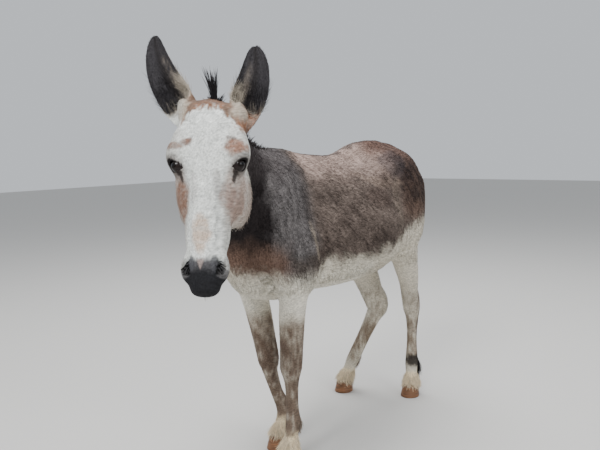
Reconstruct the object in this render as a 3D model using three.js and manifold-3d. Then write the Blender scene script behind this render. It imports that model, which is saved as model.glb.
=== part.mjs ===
// A donkey that stands with its head turned to its left, at life size.
// The body is one field of flesh: tubes along the spine, neck, head and limbs, and rounded muscle
// masses, blended into each other. A closed surface is drawn over the field and parted by thin cuts
// into head, neck, trunk and limbs. Ears, eyes, mane, forelock, tail and hooves are solids of their own.
// Millimetres. The animal faces -Y, its left side is +X, and +Z is up.
import * as THREE from 'three';
import { mergeVertices } from 'three/addons/utils/BufferGeometryUtils.js';
import Module from 'manifold-3d';

const wasm = await Module();
wasm.setup();

// ---- Driving dimensions ----
const WITHERS_HEIGHT = 1250;
const BACK_HEIGHT = 1202;
const CROUP_HEIGHT = 1278;
const ELBOW_HEIGHT = 700;
const STIFLE_HEIGHT = 770;
const HOCK_HEIGHT = 440;
const KNEE_HEIGHT = 390;
const FETLOCK_HEIGHT = 165;
const HEAD_LENGTH = 565;
const HEAD_YAW = 36.5;
const HEAD_PITCH = 18;
const POLL = [299, -955, 1396];
const EYE_RADIUS = 21;
const EYE_PROUD = 6;
const EAR_WIDTH = 100;
const EAR_WALL = 8;
const HOOF_HEIGHT = 62;
const GAP = 0.3;
const LEFT = 1;
const RIGHT = -1;

// ---- Small vector helpers ----
const add = (a, b) => [a[0] + b[0], a[1] + b[1], a[2] + b[2]];
const sub = (a, b) => [a[0] - b[0], a[1] - b[1], a[2] - b[2]];
const times = (a, k) => [a[0] * k, a[1] * k, a[2] * k];
const mix = (a, b, t) => add(times(a, 1 - t), times(b, t));
const dot = (a, b) => a[0] * b[0] + a[1] * b[1] + a[2] * b[2];
const cross = (a, b) => [
  a[1] * b[2] - a[2] * b[1],
  a[2] * b[0] - a[0] * b[2],
  a[0] * b[1] - a[1] * b[0],
];
const length = (a) => Math.hypot(a[0], a[1], a[2]);
const unit = (a) => times(a, 1 / length(a));
const clamp = (x, low, high) => Math.min(high, Math.max(low, x));

// ---- The head's own frame: across to its left, out of the face, and down from poll to muzzle ----
const radians = THREE.MathUtils.degToRad;
const facing = [Math.sin(radians(HEAD_YAW)), -Math.cos(radians(HEAD_YAW)), 0];
const UP = [0, 0, 1];
const headLeft = cross(UP, facing);
const nod = radians(HEAD_PITCH);
const faceOut = add(times(facing, Math.cos(nod)), times(UP, Math.sin(nod)));
const faceDown = add(times(facing, Math.sin(nod)), times(UP, -Math.cos(nod)));

function onHead(across, out, down) {
  const a = add(times(headLeft, across), times(faceOut, out));
  return add(POLL, add(a, times(faceDown, down)));
}

// ---- Flesh masses ----

// A smooth curve through station rows of any length (Catmull-Rom), with steps rows to each span.
function throughStations(rows, steps) {
  const curve = [];
  for (let i = 0; i < rows.length - 1; i += 1) {
    const before = rows[Math.max(i - 1, 0)];
    const after = rows[Math.min(i + 2, rows.length - 1)];
    for (let j = 0; j < steps; j += 1) {
      const t = j / steps;
      curve.push(rows[i].map((p, k) => {
        const q = rows[i + 1][k];
        const slope = q - before[k];
        const bend = 2 * before[k] - 5 * p + 4 * q - after[k];
        const twist = -before[k] + 3 * p - 3 * q + after[k];
        return 0.5 * (2 * p + slope * t + bend * t * t + twist * t * t * t);
      }));
    }
  }
  curve.push(rows[rows.length - 1]);
  return curve;
}

// A tube of oval section. Each station is [x, y, z, half width, half depth, fullness], and fullness
// widens the section towards the side that lies under the tube.
function tube(stations, blend, side = [1, 0, 0], steps = 4) {
  const rows = throughStations(stations.map((s) => (s.length === 5 ? [...s, 0] : s)), steps);
  const centres = rows.map((r) => r.slice(0, 3));
  const lefts = [];
  const downs = [];
  centres.forEach((c, i) => {
    const along = unit(sub(centres[Math.min(i + 1, rows.length - 1)], centres[Math.max(i - 1, 0)]));
    const left = unit(sub(side, times(along, dot(side, along))));
    lefts.push(left);
    downs.push(cross(along, left));
  });
  const reach = 1.05 * Math.max(...rows.map((r) => Math.max(r[3], r[4])));
  const low = [0, 1, 2].map((k) => Math.min(...centres.map((c) => c[k])) - reach);
  const high = [0, 1, 2].map((k) => Math.max(...centres.map((c) => c[k])) + reach);

  function distance(p) {
    let best = Infinity;
    let span = 0;
    let share = 0;
    for (let i = 0; i < rows.length - 1; i += 1) {
      const step = sub(centres[i + 1], centres[i]);
      const t = clamp(dot(sub(p, centres[i]), step) / dot(step, step), 0, 1);
      const away = sub(p, add(centres[i], times(step, t)));
      const d = dot(away, away);
      if (d < best) {
        best = d;
        span = i;
        share = t;
      }
    }
    const row = rows[span].map((v, k) => v + (rows[span + 1][k] - v) * share);
    const from = sub(p, row);
    const left = unit(mix(lefts[span], lefts[span + 1], share));
    const down = unit(mix(downs[span], downs[span + 1], share));
    const v = dot(from, down) / row[4];
    const wide = row[3] * (1 + row[5] * clamp(v, -1, 1));
    const u = dot(from, left) / wide;
    const w = dot(from, cross(left, down)) / (0.8 * Math.min(wide, row[4]));
    const q = Math.hypot(u, v, w);
    return q > 1e-6 ? length(from) * (1 - 1 / q) : -Math.min(wide, row[4]);
  }
  return { distance, blend, low, high, rows, lefts, downs };
}

// A rounded mass: an ellipsoid along the axes of the body, or of the head.
function muscle(centre, radii, blend, axes = [[1, 0, 0], [0, 1, 0], [0, 0, 1]]) {
  const reach = Math.max(...radii);
  function distance(p) {
    const from = sub(p, centre);
    const q = Math.hypot(...axes.map((axis, k) => dot(from, axis) / radii[k]));
    return q > 1e-6 ? length(from) * (1 - 1 / q) : -Math.min(...radii);
  }
  return { distance, blend, low: centre.map((c) => c - reach), high: centre.map((c) => c + reach) };
}

const smoothMin = (a, b, k) => {
  const h = clamp(0.5 + (0.5 * (b - a)) / k, 0, 1);
  return b + (a - b) * h - k * h * (1 - h);
};

// The distance from the surface of several masses, negative inside.
function fieldOf(masses) {
  const margin = 120;
  return (p) => {
    let d = 1000;
    for (const mass of masses) {
      const near = p.every((v, k) => v > mass.low[k] - margin && v < mass.high[k] + margin);
      if (near) d = smoothMin(d, mass.distance(p), mass.blend);
    }
    return d;
  };
}

// ---- Trunk ----
function trunkMasses() {
  const barrel = tube([
    [0, -560, 920, 80, 120, 0],
    [0, -490, 945, 128, 200, 0.05],
    [0, -370, 952, 170, 268, 0.2],
    [0, -190, 934, 220, 284, 0.22],
    [0, 0, 920, 252, 278, 0.18],
    [0, 170, 931, 254, 275, 0.12],
    [0, 320, 1005, 214, 262, 0],
    [0, 450, 1070, 176, 185, 0],
    [0, 540, 1055, 126, 138, 0],
  ], 40);
  const spine = tube([
    [0, -520, WITHERS_HEIGHT - 110, 30, 40],
    [0, -400, WITHERS_HEIGHT - 58, 30, 45],
    [0, -300, WITHERS_HEIGHT - 58, 32, 44],
    [0, -180, BACK_HEIGHT - 37, 36, 40],
    [0, 0, BACK_HEIGHT - 36, 40, 42],
    [0, 130, BACK_HEIGHT + 9, 45, 42],
    [0, 240, CROUP_HEIGHT - 48, 48, 44],
    [0, 350, CROUP_HEIGHT - 49, 50, 44],
    [0, 470, CROUP_HEIGHT - 98, 42, 45],
    [0, 560, CROUP_HEIGHT - 170, 30, 40],
  ], 60);
  const breast = tube([
    [0, -584, 900, 56, 68],
    [0, -567, 810, 68, 60],
    [0, -496, 724, 73, 55],
    [0, -385, 686, 74, 46],
  ], 60);
  return [barrel, spine, breast, ...[LEFT, RIGHT].flatMap((side) => [
    tube([
      [side * 72, -345, 1140, 36, 75],
      [side * 104, -420, 1020, 48, 98],
      [side * 118, -490, 900, 54, 95],
      [side * 112, -520, 835, 52, 82],
    ], 70),
    muscle([side * 138, -375, 810], [62, 112, 140], 50),
    muscle([side * 106, 344, 1080], [98, 166, 146], 60),
    muscle([side * 92, 520, 985], [66, 88, 150], 60),
  ])];
}

// ---- Neck ----
const neckStations = [
  [0, -370, 1010, 120, 215],
  [8, -490, 1048, 106, 205],
  [62, -625, 1105, 88, 178],
  [142, -745, 1182, 75, 142],
  [210, -840, 1255, 66, 112],
  [258, -900, 1300, 62, 90],
];
const neck = tube(neckStations, 60);

// ---- Limbs: knees, hocks, fetlocks and hooves stand where the pose has put them ----
const foreLegs = {
  left: { side: LEFT, elbow: [125, -395], knee: [103, -391], fetlock: [100, -385] },
  right: { side: RIGHT, elbow: [-112, -385], knee: [-42, -366], fetlock: [-35, -290] },
};
const hindLegs = {
  left: { side: LEFT, stifle: [133, 395], hock: [84, 552], fetlock: [90, 535], toe: [98, 518], girth: 1 },
  right: {
    side: RIGHT, stifle: [-135, 345], hock: [-76, 488], fetlock: [-172, 396], toe: [-206, 372], girth: 1.27,
  },
};
const FORE_TOE_REACH = 28;

function foreLegMasses({ side, elbow, knee, fetlock }) {
  const between = (a, b, t) => [a[0] + (b[0] - a[0]) * t, a[1] + (b[1] - a[1]) * t];
  return [tube([
    [side * 118, -430, 840, 58, 95],
    [...elbow, ELBOW_HEIGHT, 52, 76],
    [...between(elbow, knee, 0.4), 600, 52, 62],
    [...between(elbow, knee, 0.75), 480, 47, 53],
    [...knee, KNEE_HEIGHT, 47, 50],
    [...between(knee, fetlock, 0.1), 330, 34, 36],
    [...between(knee, fetlock, 0.5), 240, 28, 31],
    [...fetlock, FETLOCK_HEIGHT - 5, 33, 37],
    [fetlock[0], fetlock[1] - FORE_TOE_REACH / 2, 108, 27, 31],
    [fetlock[0], fetlock[1] - FORE_TOE_REACH, HOOF_HEIGHT, 37, 42],
  ], 35, [1, 0, 0], 3)];
}

function hindLegMasses({ side, stifle, hock, fetlock, toe, girth }) {
  const knee = [...stifle, STIFLE_HEIGHT];
  const heel = [...hock, HOCK_HEIGHT];
  const ankle = [...fetlock, FETLOCK_HEIGHT];
  const foot = [...toe, HOOF_HEIGHT];
  const up = unit(sub(knee, heel));
  const cannon = unit(sub(ankle, heel));
  const behind = unit(cross([1, 0, 0], cannon));
  const bone = tube([
    [side * 108, 420, 1060, 80, 145],
    [side * 128, 415, 900, 80, 140],
    [...knee, 63, 102],
    [...add(mix(knee, heel, 0.5), [0, 4, 0]), 50 * girth, 61 * girth],
    [...add(mix(knee, heel, 0.78), [0, -8, 8]), 41 * girth, 54 * girth],
    [...add(heel, [0, -6, 0]), 41 * girth, 57 * girth],
    [...mix(heel, ankle, 0.22), 32 * girth, 41 * girth],
    [...mix(heel, ankle, 0.6), 28 * girth, 32 * girth],
    [...ankle, 34, 39],
    [...mix(ankle, foot, 0.5), 31, 35],
    [...foot, 38, 43],
  ], 45);
  const tendon = tube([
    [...add(add(heel, times(cannon, 80)), times(behind, 18)), 14, 14],
    [...add(heel, [0, 42, 30]), 19, 19],
    [...add(add(heel, times(up, 130)), [0, 44, 10]), 14, 20],
    [...add(add(heel, times(up, 230)), [0, 50, 10]), 30, 34],
  ], 20);
  return [bone, tendon];
}

// ---- Head: stations run down the face, each [out, down, half width, half depth, fullness] ----
function headMasses() {
  const headAxes = [headLeft, faceOut, faceDown];
  const alongFace = (rows, blend) => {
    const stations = rows.map(([out, down, ...section]) => [...onHead(0, out, down), ...section]);
    return tube(stations, blend, headLeft);
  };
  const onFace = (across, out, down, radii, blend) => (
    muscle(onHead(across, out, down), radii, blend, headAxes)
  );
  const skull = alongFace([
    [-85, 10, 52, 54, 0],
    [-95, 50, 76, 82, 0.08],
    [-104, 110, 99, 102, 0.14],
    [-110, 170, 102, 110, 0.2],
    [-114, 225, 97, 114, 0.22],
    [-102, 290, 85, 96, 0.12],
    [-88, 350, 74, 80, 0],
    [-75, 410, 66, 66, -0.05],
    [-66, 460, 57, 56, 0],
    [-64, 510, 50, 50, 0.05],
    [-66, HEAD_LENGTH - 24, 38, 37, 0],
  ], 30);
  const noseBridge = alongFace([
    [-52, 190, 28, 24, 0],
    [-36, 290, 32, 28, 0],
    [-38, 400, 32, 28, 0],
    [-46, 460, 30, 26, 0],
  ], 25);
  const upperLip = onFace(0, -64, HEAD_LENGTH - 26, [43, 37, 31], 25);
  const chin = onFace(0, -100, HEAD_LENGTH - 49, [31, 23, 32], 20);
  return [skull, noseBridge, upperLip, chin, ...[LEFT, RIGHT].flatMap((side) => [
    onFace(side * 72, -158, 258, [42, 84, 98], 40),
    onFace(side * 80, -66, 112, [34, 42, 50], 30),
    onFace(side * 90, -50, 160, [34, 38, 46], 40),
    onFace(side * 46, -56, 494, [26, 32, 40], 24),
    onFace(side * 48, -78, 44, [36, 44, 44], 30),
  ])];
}

// ---- Ears: each on its own curved axis, the right one turned further out ----
const ears = {
  left: {
    side: LEFT,
    root: onHead(76, -92, 34),
    bend: onHead(144, -104, -80),
    tip: onHead(124, -116, -217),
    opening: add(faceOut, times(headLeft, 0.1)),
  },
  right: {
    side: RIGHT,
    root: onHead(-62, -92, 26),
    bend: onHead(-195, -96, -112),
    tip: onHead(-197, -112, -262),
    opening: add(faceOut, times(headLeft, -0.4)),
  },
};
const onEarAxis = ({ root, bend, tip }, t) => mix(mix(root, bend, t), mix(bend, tip, t), t);

// The fleshy funnel that joins an ear to the skull, set towards the poll from the ear's axis.
function earBase(ear) {
  const towardsPoll = (t, inwards) => add(onEarAxis(ear, t), times(headLeft, -ear.side * inwards));
  return tube([
    [...towardsPoll(0, 6), 44, 42],
    [...towardsPoll(0.1, 10), 38, 34],
    [...towardsPoll(0.18, 13), 21, 20],
    [...towardsPoll(0.26, 14), 7, 7],
  ], 34, headLeft);
}

const flesh = fieldOf([
  ...trunkMasses(),
  neck,
  ...Object.values(foreLegs).flatMap(foreLegMasses),
  ...Object.values(hindLegs).flatMap(hindLegMasses),
  ...headMasses(),
  ...Object.values(ears).map(earBase),
]);

// ---- Solids and cuts ----
function toManifold(geometry) {
  const bare = geometry.index ? geometry.clone() : geometry;
  bare.deleteAttribute('normal');
  bare.deleteAttribute('uv');
  const merged = mergeVertices(bare, 1e-3);
  return new wasm.Manifold(new wasm.Mesh({
    numProp: 3,
    vertProperties: new Float32Array(merged.attributes.position.array),
    triVerts: new Uint32Array(merged.index.array),
  }));
}

function geometryOf(points, triangles) {
  const geometry = new THREE.BufferGeometry();
  geometry.setAttribute('position', new THREE.Float32BufferAttribute(points.flat(), 3));
  geometry.setIndex(triangles.flat());
  return geometry;
}

// All that lies on the inner side of a plane through a point, as a block three metres across.
function behindPlane(point, normal) {
  const size = 3000;
  const geometry = new THREE.BoxGeometry(size, size, size);
  geometry.translate(0, 0, -size / 2);
  const turn = new THREE.Quaternion().setFromUnitVectors(
    new THREE.Vector3(0, 0, 1),
    new THREE.Vector3(...unit(normal)),
  );
  geometry.applyQuaternion(turn);
  geometry.translate(...point);
  return toManifold(geometry);
}

function block(low, high) {
  const size = sub(high, low);
  const geometry = new THREE.BoxGeometry(...size);
  geometry.translate(...add(low, times(size, 0.5)));
  return toManifold(geometry);
}

const BODY_AXES = [[1, 0, 0], [0, 1, 0], [0, 0, 1]];
const HEAD_AXES = [headLeft, times(faceOut, -1), times(faceDown, -1)];

// Draws a closed surface over a field, by one point in each cell that the surface crosses (surface
// nets), and sets the points on the surface. The cells lie in a box of the given axes and cell sizes.
function surfaceOf(field, { origin = [0, 0, 0], axes = BODY_AXES, low, high, cell, grow = 0 }) {
  const counts = low.map((v, k) => Math.ceil((high[k] - v) / cell[k]) + 1);
  const place = (i, j, k) => {
    const local = [low[0] + i * cell[0], low[1] + j * cell[1], low[2] + k * cell[2]];
    return add(origin, axes.reduce((sum, axis, n) => add(sum, times(axis, local[n])), [0, 0, 0]));
  };
  const at = (i, j, k) => (i * counts[1] + j) * counts[2] + k;
  const values = new Float64Array(counts[0] * counts[1] * counts[2]);
  const onEdge = (i, k) => i === 0 || i === counts[k] - 1;
  for (let i = 0; i < counts[0]; i += 1) {
    for (let j = 0; j < counts[1]; j += 1) {
      for (let k = 0; k < counts[2]; k += 1) {
        const outside = onEdge(i, 0) || onEdge(j, 1) || onEdge(k, 2);
        values[at(i, j, k)] = outside ? cell[0] / 2 : field(place(i, j, k)) - grow;
      }
    }
  }
  const points = [];
  const cellPoint = new Map();
  const corners = [0, 1, 2, 3, 4, 5, 6, 7].map((n) => [(n >> 2) & 1, (n >> 1) & 1, n & 1]);
  const edges = corners.flatMap((_, n) => [4, 2, 1].filter((bit) => !(n & bit)).map((bit) => [n, n | bit]));
  const pull = (p) => {
    const step = 1;
    const slope = BODY_AXES.map((axis) => (
      field(add(p, times(axis, step))) - field(sub(p, times(axis, step)))
    ) / (2 * step));
    const steep = Math.max(length(slope), 0.3);
    const most = cell[0] / 4;
    const move = clamp((field(p) - grow) / steep, -most, most);
    return sub(p, times(unit(slope), move));
  };
  for (let i = 0; i < counts[0] - 1; i += 1) {
    for (let j = 0; j < counts[1] - 1; j += 1) {
      for (let k = 0; k < counts[2] - 1; k += 1) {
        const v = corners.map(([a, b, c]) => values[at(i + a, j + b, k + c)]);
        const crossed = edges.filter(([m, n]) => (v[m] < 0) !== (v[n] < 0));
        if (crossed.length > 0) {
          let sum = [0, 0, 0];
          for (const [m, n] of crossed) {
            sum = add(sum, mix(corners[m], corners[n], v[m] / (v[m] - v[n])));
          }
          const centre = times(sum, 1 / crossed.length);
          const start = place(i + centre[0], j + centre[1], k + centre[2]);
          const atRim = [i, j, k].some((n, axis) => n === 0 || n === counts[axis] - 2);
          cellPoint.set(at(i, j, k), points.length);
          points.push(atRim ? start : pull(pull(start)));
        }
      }
    }
  }
  const triangles = [];
  const quad = (a, b, c, d) => triangles.push([a, b, c], [a, c, d]);
  for (let i = 0; i < counts[0] - 1; i += 1) {
    for (let j = 0; j < counts[1] - 1; j += 1) {
      for (let k = 0; k < counts[2] - 1; k += 1) {
        const inside = values[at(i, j, k)] < 0;
        const here = at(i, j, k);
        const lowX = at(i - 1, j, k);
        const lowY = at(i, j - 1, k);
        const lowZ = at(i, j, k - 1);
        const steps = [
          { next: at(i + 1, j, k), ring: [here, lowY, at(i, j - 1, k - 1), lowZ] },
          { next: at(i, j + 1, k), ring: [here, lowZ, at(i - 1, j, k - 1), lowX] },
          { next: at(i, j, k + 1), ring: [here, lowX, at(i - 1, j - 1, k), lowY] },
        ];
        for (const { next, ring } of steps) {
          if ((values[next] < 0) !== inside) {
            const loop = ring.map((cellAt) => cellPoint.get(cellAt));
            if (inside) quad(...loop);
            else quad(...loop.reverse());
          }
        }
      }
    }
  }
  return toManifold(geometryOf(points, triangles));
}

// A closed skin over rings of the same number of points, flat across its first and last ring.
function loft(rings) {
  const around = rings[0].length;
  const points = rings.flat();
  const triangles = [];
  for (let i = 0; i < rings.length - 1; i += 1) {
    for (let j = 0; j < around; j += 1) {
      const a = i * around + j;
      const b = i * around + ((j + 1) % around);
      triangles.push([a, b, b + around], [a, b + around, a + around]);
    }
  }
  const last = (rings.length - 1) * around;
  for (let j = 1; j < around - 1; j += 1) {
    triangles.push([0, j + 1, j], [last, last + j, last + j + 1]);
  }
  return toManifold(geometryOf(points, triangles));
}

// Of a solid that a cut has left in several bodies, only the largest is kept.
function largest(solid) {
  const bodies = solid.decompose();
  return bodies.reduce((best, body) => (body.volume() > best.volume() ? body : best));
}

const part = new THREE.Group();
const model = new THREE.Group();
part.add(model);

function addPart(name, solid, { color, roughness }) {
  const mesh = largest(solid).getMesh();
  const geometry = new THREE.BufferGeometry();
  const points = new Float32Array((mesh.vertProperties.length / mesh.numProp) * 3);
  for (let i = 0; i < points.length / 3; i += 1) {
    points.set(mesh.vertProperties.slice(i * mesh.numProp, i * mesh.numProp + 3), i * 3);
  }
  geometry.setAttribute('position', new THREE.BufferAttribute(points, 3));
  geometry.setIndex([...mesh.triVerts]);
  geometry.computeVertexNormals();
  const piece = new THREE.Mesh(geometry, new THREE.MeshStandardMaterial({ color, roughness, metalness: 0 }));
  piece.name = name;
  model.add(piece);
}

const COAT = { color: 0x6d5f55, roughness: 0.95 };
const FACE_COAT = { color: 0xd8d2c8, roughness: 0.95 };
const LEG_COAT = { color: 0xc9bba6, roughness: 0.95 };
const EAR_COAT = { color: 0x5a4a42, roughness: 0.95 };
const LONG_HAIR = { color: 0x2a2423, roughness: 0.9 };
const HORN = { color: 0xb58a62, roughness: 0.7 };
const EYE = { color: 0x1a1210, roughness: 0.1 };

// ---- Where the body is parted ----
const neckRoot = { point: [0, -530, 1035], normal: [0, -0.908, 0.419] };
const headRoot = {
  point: onHead(0, -165, 0),
  normal: unit(add(times(faceOut, -0.925), times(faceDown, -0.38))),
};
const thighCut = { point: [0, 280, 725], normal: [0, -0.2, 0.98] };
const FORE_CUT_HEIGHT = ELBOW_HEIGHT - 32;
const HOCK_CUT_HEIGHT = HOCK_HEIGHT - 10;
const FORE_SPLIT = 35;
const CORONET_HEIGHT = 52;
const CORONET_SLOPE = 0.3;
const HEEL_TAPER = 0.14;

// What lies on the side that a cut's normal points to, and what lies on the other side.
const past = ({ point, normal }, gap = 0) => behindPlane(sub(point, times(normal, gap)), times(normal, -1));
const short = ({ point, normal }, gap = 0) => behindPlane(sub(point, times(normal, gap)), normal);

// The space of each limb below the trunk, larger by a margin on the trunk's side.
const foreSpace = (side, margin, back = -300) => (side === LEFT
  ? block([FORE_SPLIT + GAP / 2 - margin, -560, -50], [280, back + margin, FORE_CUT_HEIGHT + margin])
  : block([-280, -560, -50], [FORE_SPLIT - GAP / 2 + margin, back + margin, FORE_CUT_HEIGHT + margin]));
const hindSpace = (side, margin) => {
  const inner = 30 - margin;
  const room = side === LEFT
    ? block([inner, 250 - margin, -50], [400, 900, 900])
    : block([-400, 250 - margin, -50], [-inner, 900, 900]);
  return room.intersect(short(thighCut, -margin));
};

// ---- Trunk ----
const trunkCells = { low: [-330, -720, 600], high: [330, 720, 1330], cell: [60, 74, 62] };
const trunkSurface = surfaceOf(flesh, trunkCells);
const limbSpaces = [LEFT, RIGHT].flatMap((side) => [foreSpace(side, GAP), hindSpace(side, GAP)]);
addPart('trunk', limbSpaces.reduce((solid, space) => solid.subtract(space), trunkSurface)
  .intersect(short(neckRoot, GAP)), COAT);

// ---- Neck ----
const neckCells = { low: [-220, -1060, 780], high: [420, -330, 1460], cell: [42, 42, 44] };
const neckSurface = surfaceOf(flesh, neckCells);
addPart('neck', neckSurface.intersect(past(neckRoot)).intersect(past(headRoot)), COAT);

// ---- Head, with a socket for each eye ----
const headBox = { origin: POLL, axes: HEAD_AXES, low: [-170, -40, -640], high: [170, 300, 60] };
const eyes = [LEFT, RIGHT].map((side) => {
  const look = unit(add(add(times(headLeft, side * 0.7), times(faceOut, 0.71)), times(faceDown, -0.02)));
  let surface = onHead(...(side === LEFT ? [48, -80, 197] : [-40, -72, 198]));
  for (let step = 0; step < 40; step += 1) surface = add(surface, times(look, -flesh(surface)));
  const centre = sub(surface, times(look, EYE_RADIUS - EYE_PROUD));
  const ball = (radius) => {
    const sphere = new THREE.SphereGeometry(radius, 12, 8);
    sphere.translate(...centre);
    return toManifold(sphere);
  };
  return { side, ball };
});
const headCells = { ...headBox, cell: [23, 25, 30] };
let head = surfaceOf(flesh, headCells).intersect(short(headRoot, GAP));
for (const { ball } of eyes) head = head.subtract(ball(EYE_RADIUS + GAP));
addPart('head', head, FACE_COAT);
for (const { side, ball } of eyes) {
  addPart(side === LEFT ? 'eye_left' : 'eye_right', ball(EYE_RADIUS), EYE);
}

// ---- Ear shells: a cupped blade of even wall on a curved axis, open to the front ----
const headCutter = surfaceOf(flesh, { ...headCells, grow: GAP });
const neckCutter = surfaceOf(flesh, { ...neckCells, grow: GAP });
const trunkCutter = surfaceOf(flesh, { ...trunkCells, grow: GAP });

// The value of a line of [x, y] corners at x.
function along(corners, x) {
  const after = corners.findIndex(([cx]) => cx >= x);
  if (after <= 0) return corners[0][1];
  const [ax, ay] = corners[after - 1];
  const [bx, by] = corners[after];
  return ay + ((by - ay) * (x - ax)) / (bx - ax);
}

function earShell(ear) {
  const { bend, root, tip, opening } = ear;
  const width = [[0, 0.95], [0.1, 1.06], [0.2, 1.13], [0.3, 1.12], [0.42, 1.09], [0.55, 1.02], [0.67, 0.92],
    [0.8, 0.76], [0.9, 0.57], [0.96, 0.38], [1, 0.14]];
  const roundness = [[0, 1], [0.15, 0.85], [0.5, 0.62], [1, 0.4]];
  const hollow = [[0, 0], [0.1, 0], [0.25, 1], [1, 1]];
  const ringCount = 11;
  const arcPoints = 7;
  const rings = [];
  for (let i = 0; i < ringCount; i += 1) {
    const t = i / (ringCount - 1);
    const centre = onEarAxis(ear, t);
    const axis = unit(sub(mix(bend, tip, t), mix(root, bend, t)));
    const front = unit(sub(opening, times(axis, dot(opening, axis))));
    const across = cross(front, axis);
    const half = (EAR_WIDTH * along(width, t)) / 2;
    const depth = half * along(roundness, t);
    const innerHalf = Math.max(half - EAR_WALL * 0.6, half * 0.6);
    const innerDepth = Math.max(depth - EAR_WALL, depth * 0.3);
    const cup = along(hollow, t);
    const inner = -innerDepth * cup + 0.8 * depth * (1 - cup);
    const ring = [];
    for (let j = 0; j < arcPoints; j += 1) {
      const a = Math.PI * (j / (arcPoints - 1) - 0.5);
      ring.push(add(centre, add(times(across, half * Math.sin(a)), times(front, -depth * Math.cos(a)))));
    }
    for (let j = arcPoints - 1; j >= 0; j -= 1) {
      const a = Math.PI * (j / (arcPoints - 1) - 0.5);
      ring.push(add(centre, add(
        times(across, innerHalf * Math.sin(a)),
        times(front, inner * Math.cos(a) + 1),
      )));
    }
    rings.push(ring);
  }
  return loft(rings);
}
addPart('ear_left', earShell(ears.left).subtract(headCutter).subtract(head), EAR_COAT);
addPart('ear_right', earShell(ears.right).subtract(headCutter).subtract(head), EAR_COAT);

// ---- Mane and forelock: short upright hair along the crest and between the ears ----
// A strand is a tube drawn by itself, with a few points around each station.
function strand(stations, steps) {
  const { rows, lefts, downs } = tube(stations, 0, [1, 0, 0], steps);
  const around = 8;
  return loft(rows.map((row, i) => {
    const ring = [];
    for (let j = 0; j < around; j += 1) {
      const a = (2 * Math.PI * j) / around;
      const offset = add(times(lefts[i], row[3] * Math.cos(a)), times(downs[i], row[4] * Math.sin(a)));
      ring.push(add(row.slice(0, 3), offset));
    }
    return ring;
  }));
}
const MANE_RISE = 18;
const crest = neck.rows.map((row, i) => add(row.slice(0, 3), times(neck.downs[i], row[4] + MANE_RISE)));
const mane = strand([
  [...crest[3], 8, 12],
  [...crest[7], 10, 28],
  [...crest[12], 10, 34],
  [...crest[16], 10, 34],
  [...crest[20], 10, 32],
  [...onHead(0, -92, -46), 9, 24],
], 1);
const maneCut = { point: onHead(0, -78, 0), normal: faceOut };
const body = trunkCutter.add(neckCutter).add(headCutter);
addPart('mane', mane.subtract(body).intersect(short(maneCut, GAP)), LONG_HAIR);
const forelock = strand([
  [...onHead(0, -60, 12), 13, 13],
  [...onHead(2, -54, -30), 11, 11],
  [...onHead(4, -48, -92), 4, 5],
], 1);
addPart('forelock', forelock.subtract(headCutter).intersect(past(maneCut)), LONG_HAIR);

// ---- Tail: the dock, and the long hair below it ----
const TAIL_CUT_HEIGHT = 850;
const tail = strand([
  [0, 555, 1175, 26, 24],
  [0, 615, 1135, 27, 24],
  [2, 655, 1060, 24, 22],
  [6, 668, 970, 21, 20],
  [10, 668, 880, 18, 18],
  [14, 664, 800, 24, 22],
  [18, 660, 700, 32, 28],
  [20, 652, 600, 28, 25],
  [20, 645, 510, 8, 8],
], 2).subtract(trunkCutter);
const tailCut = { point: [0, 0, TAIL_CUT_HEIGHT], normal: UP };
addPart('tail_dock', tail.intersect(past(tailCut)), COAT);
addPart('tail_tuft', tail.intersect(short(tailCut, GAP)), LONG_HAIR);

// ---- Legs and hooves ----
const coronetPlane = ([x, y]) => ({ point: [x, y, CORONET_HEIGHT], normal: unit([0, CORONET_SLOPE, 1]) });

function hoof([x, y]) {
  const around = 14;
  const ring = (centreY, half, reach, height) => {
    const points = [];
    for (let j = 0; j < around; j += 1) {
      const a = (2 * Math.PI * j) / around;
      const narrow = 1 - HEEL_TAPER * Math.max(0, Math.sin(a));
      const px = x + half * narrow * Math.cos(a);
      const py = centreY + reach * Math.sin(a);
      points.push([px, py, height(py)]);
    }
    return points;
  };
  const ground = ring(y - 12, 46, 52, () => 0);
  const coronet = ring(y, 38, 43, (py) => CORONET_HEIGHT - CORONET_SLOPE * (py - y));
  return loft([ground, coronet]);
}

function addLeg(name, foot, space, cut, shape) {
  const surface = surfaceOf(flesh, { ...shape.lowerBox, cell: [21, 22, 42] });
  const upperSurface = surfaceOf(flesh, { ...shape.upperBox, cell: [33, 35, 50] });
  const joint = { point: [0, 0, cut], normal: UP };
  addPart(`${name}_upper`, upperSurface.intersect(space).intersect(past(joint)), LEG_COAT);
  addPart(
    `${name}_lower`,
    surface.intersect(shape.lowerSpace).intersect(short(joint, GAP))
      .intersect(past(coronetPlane(foot), -GAP)),
    LEG_COAT,
  );
  addPart(`${name}_hoof`, hoof(foot), HORN);
}

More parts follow.
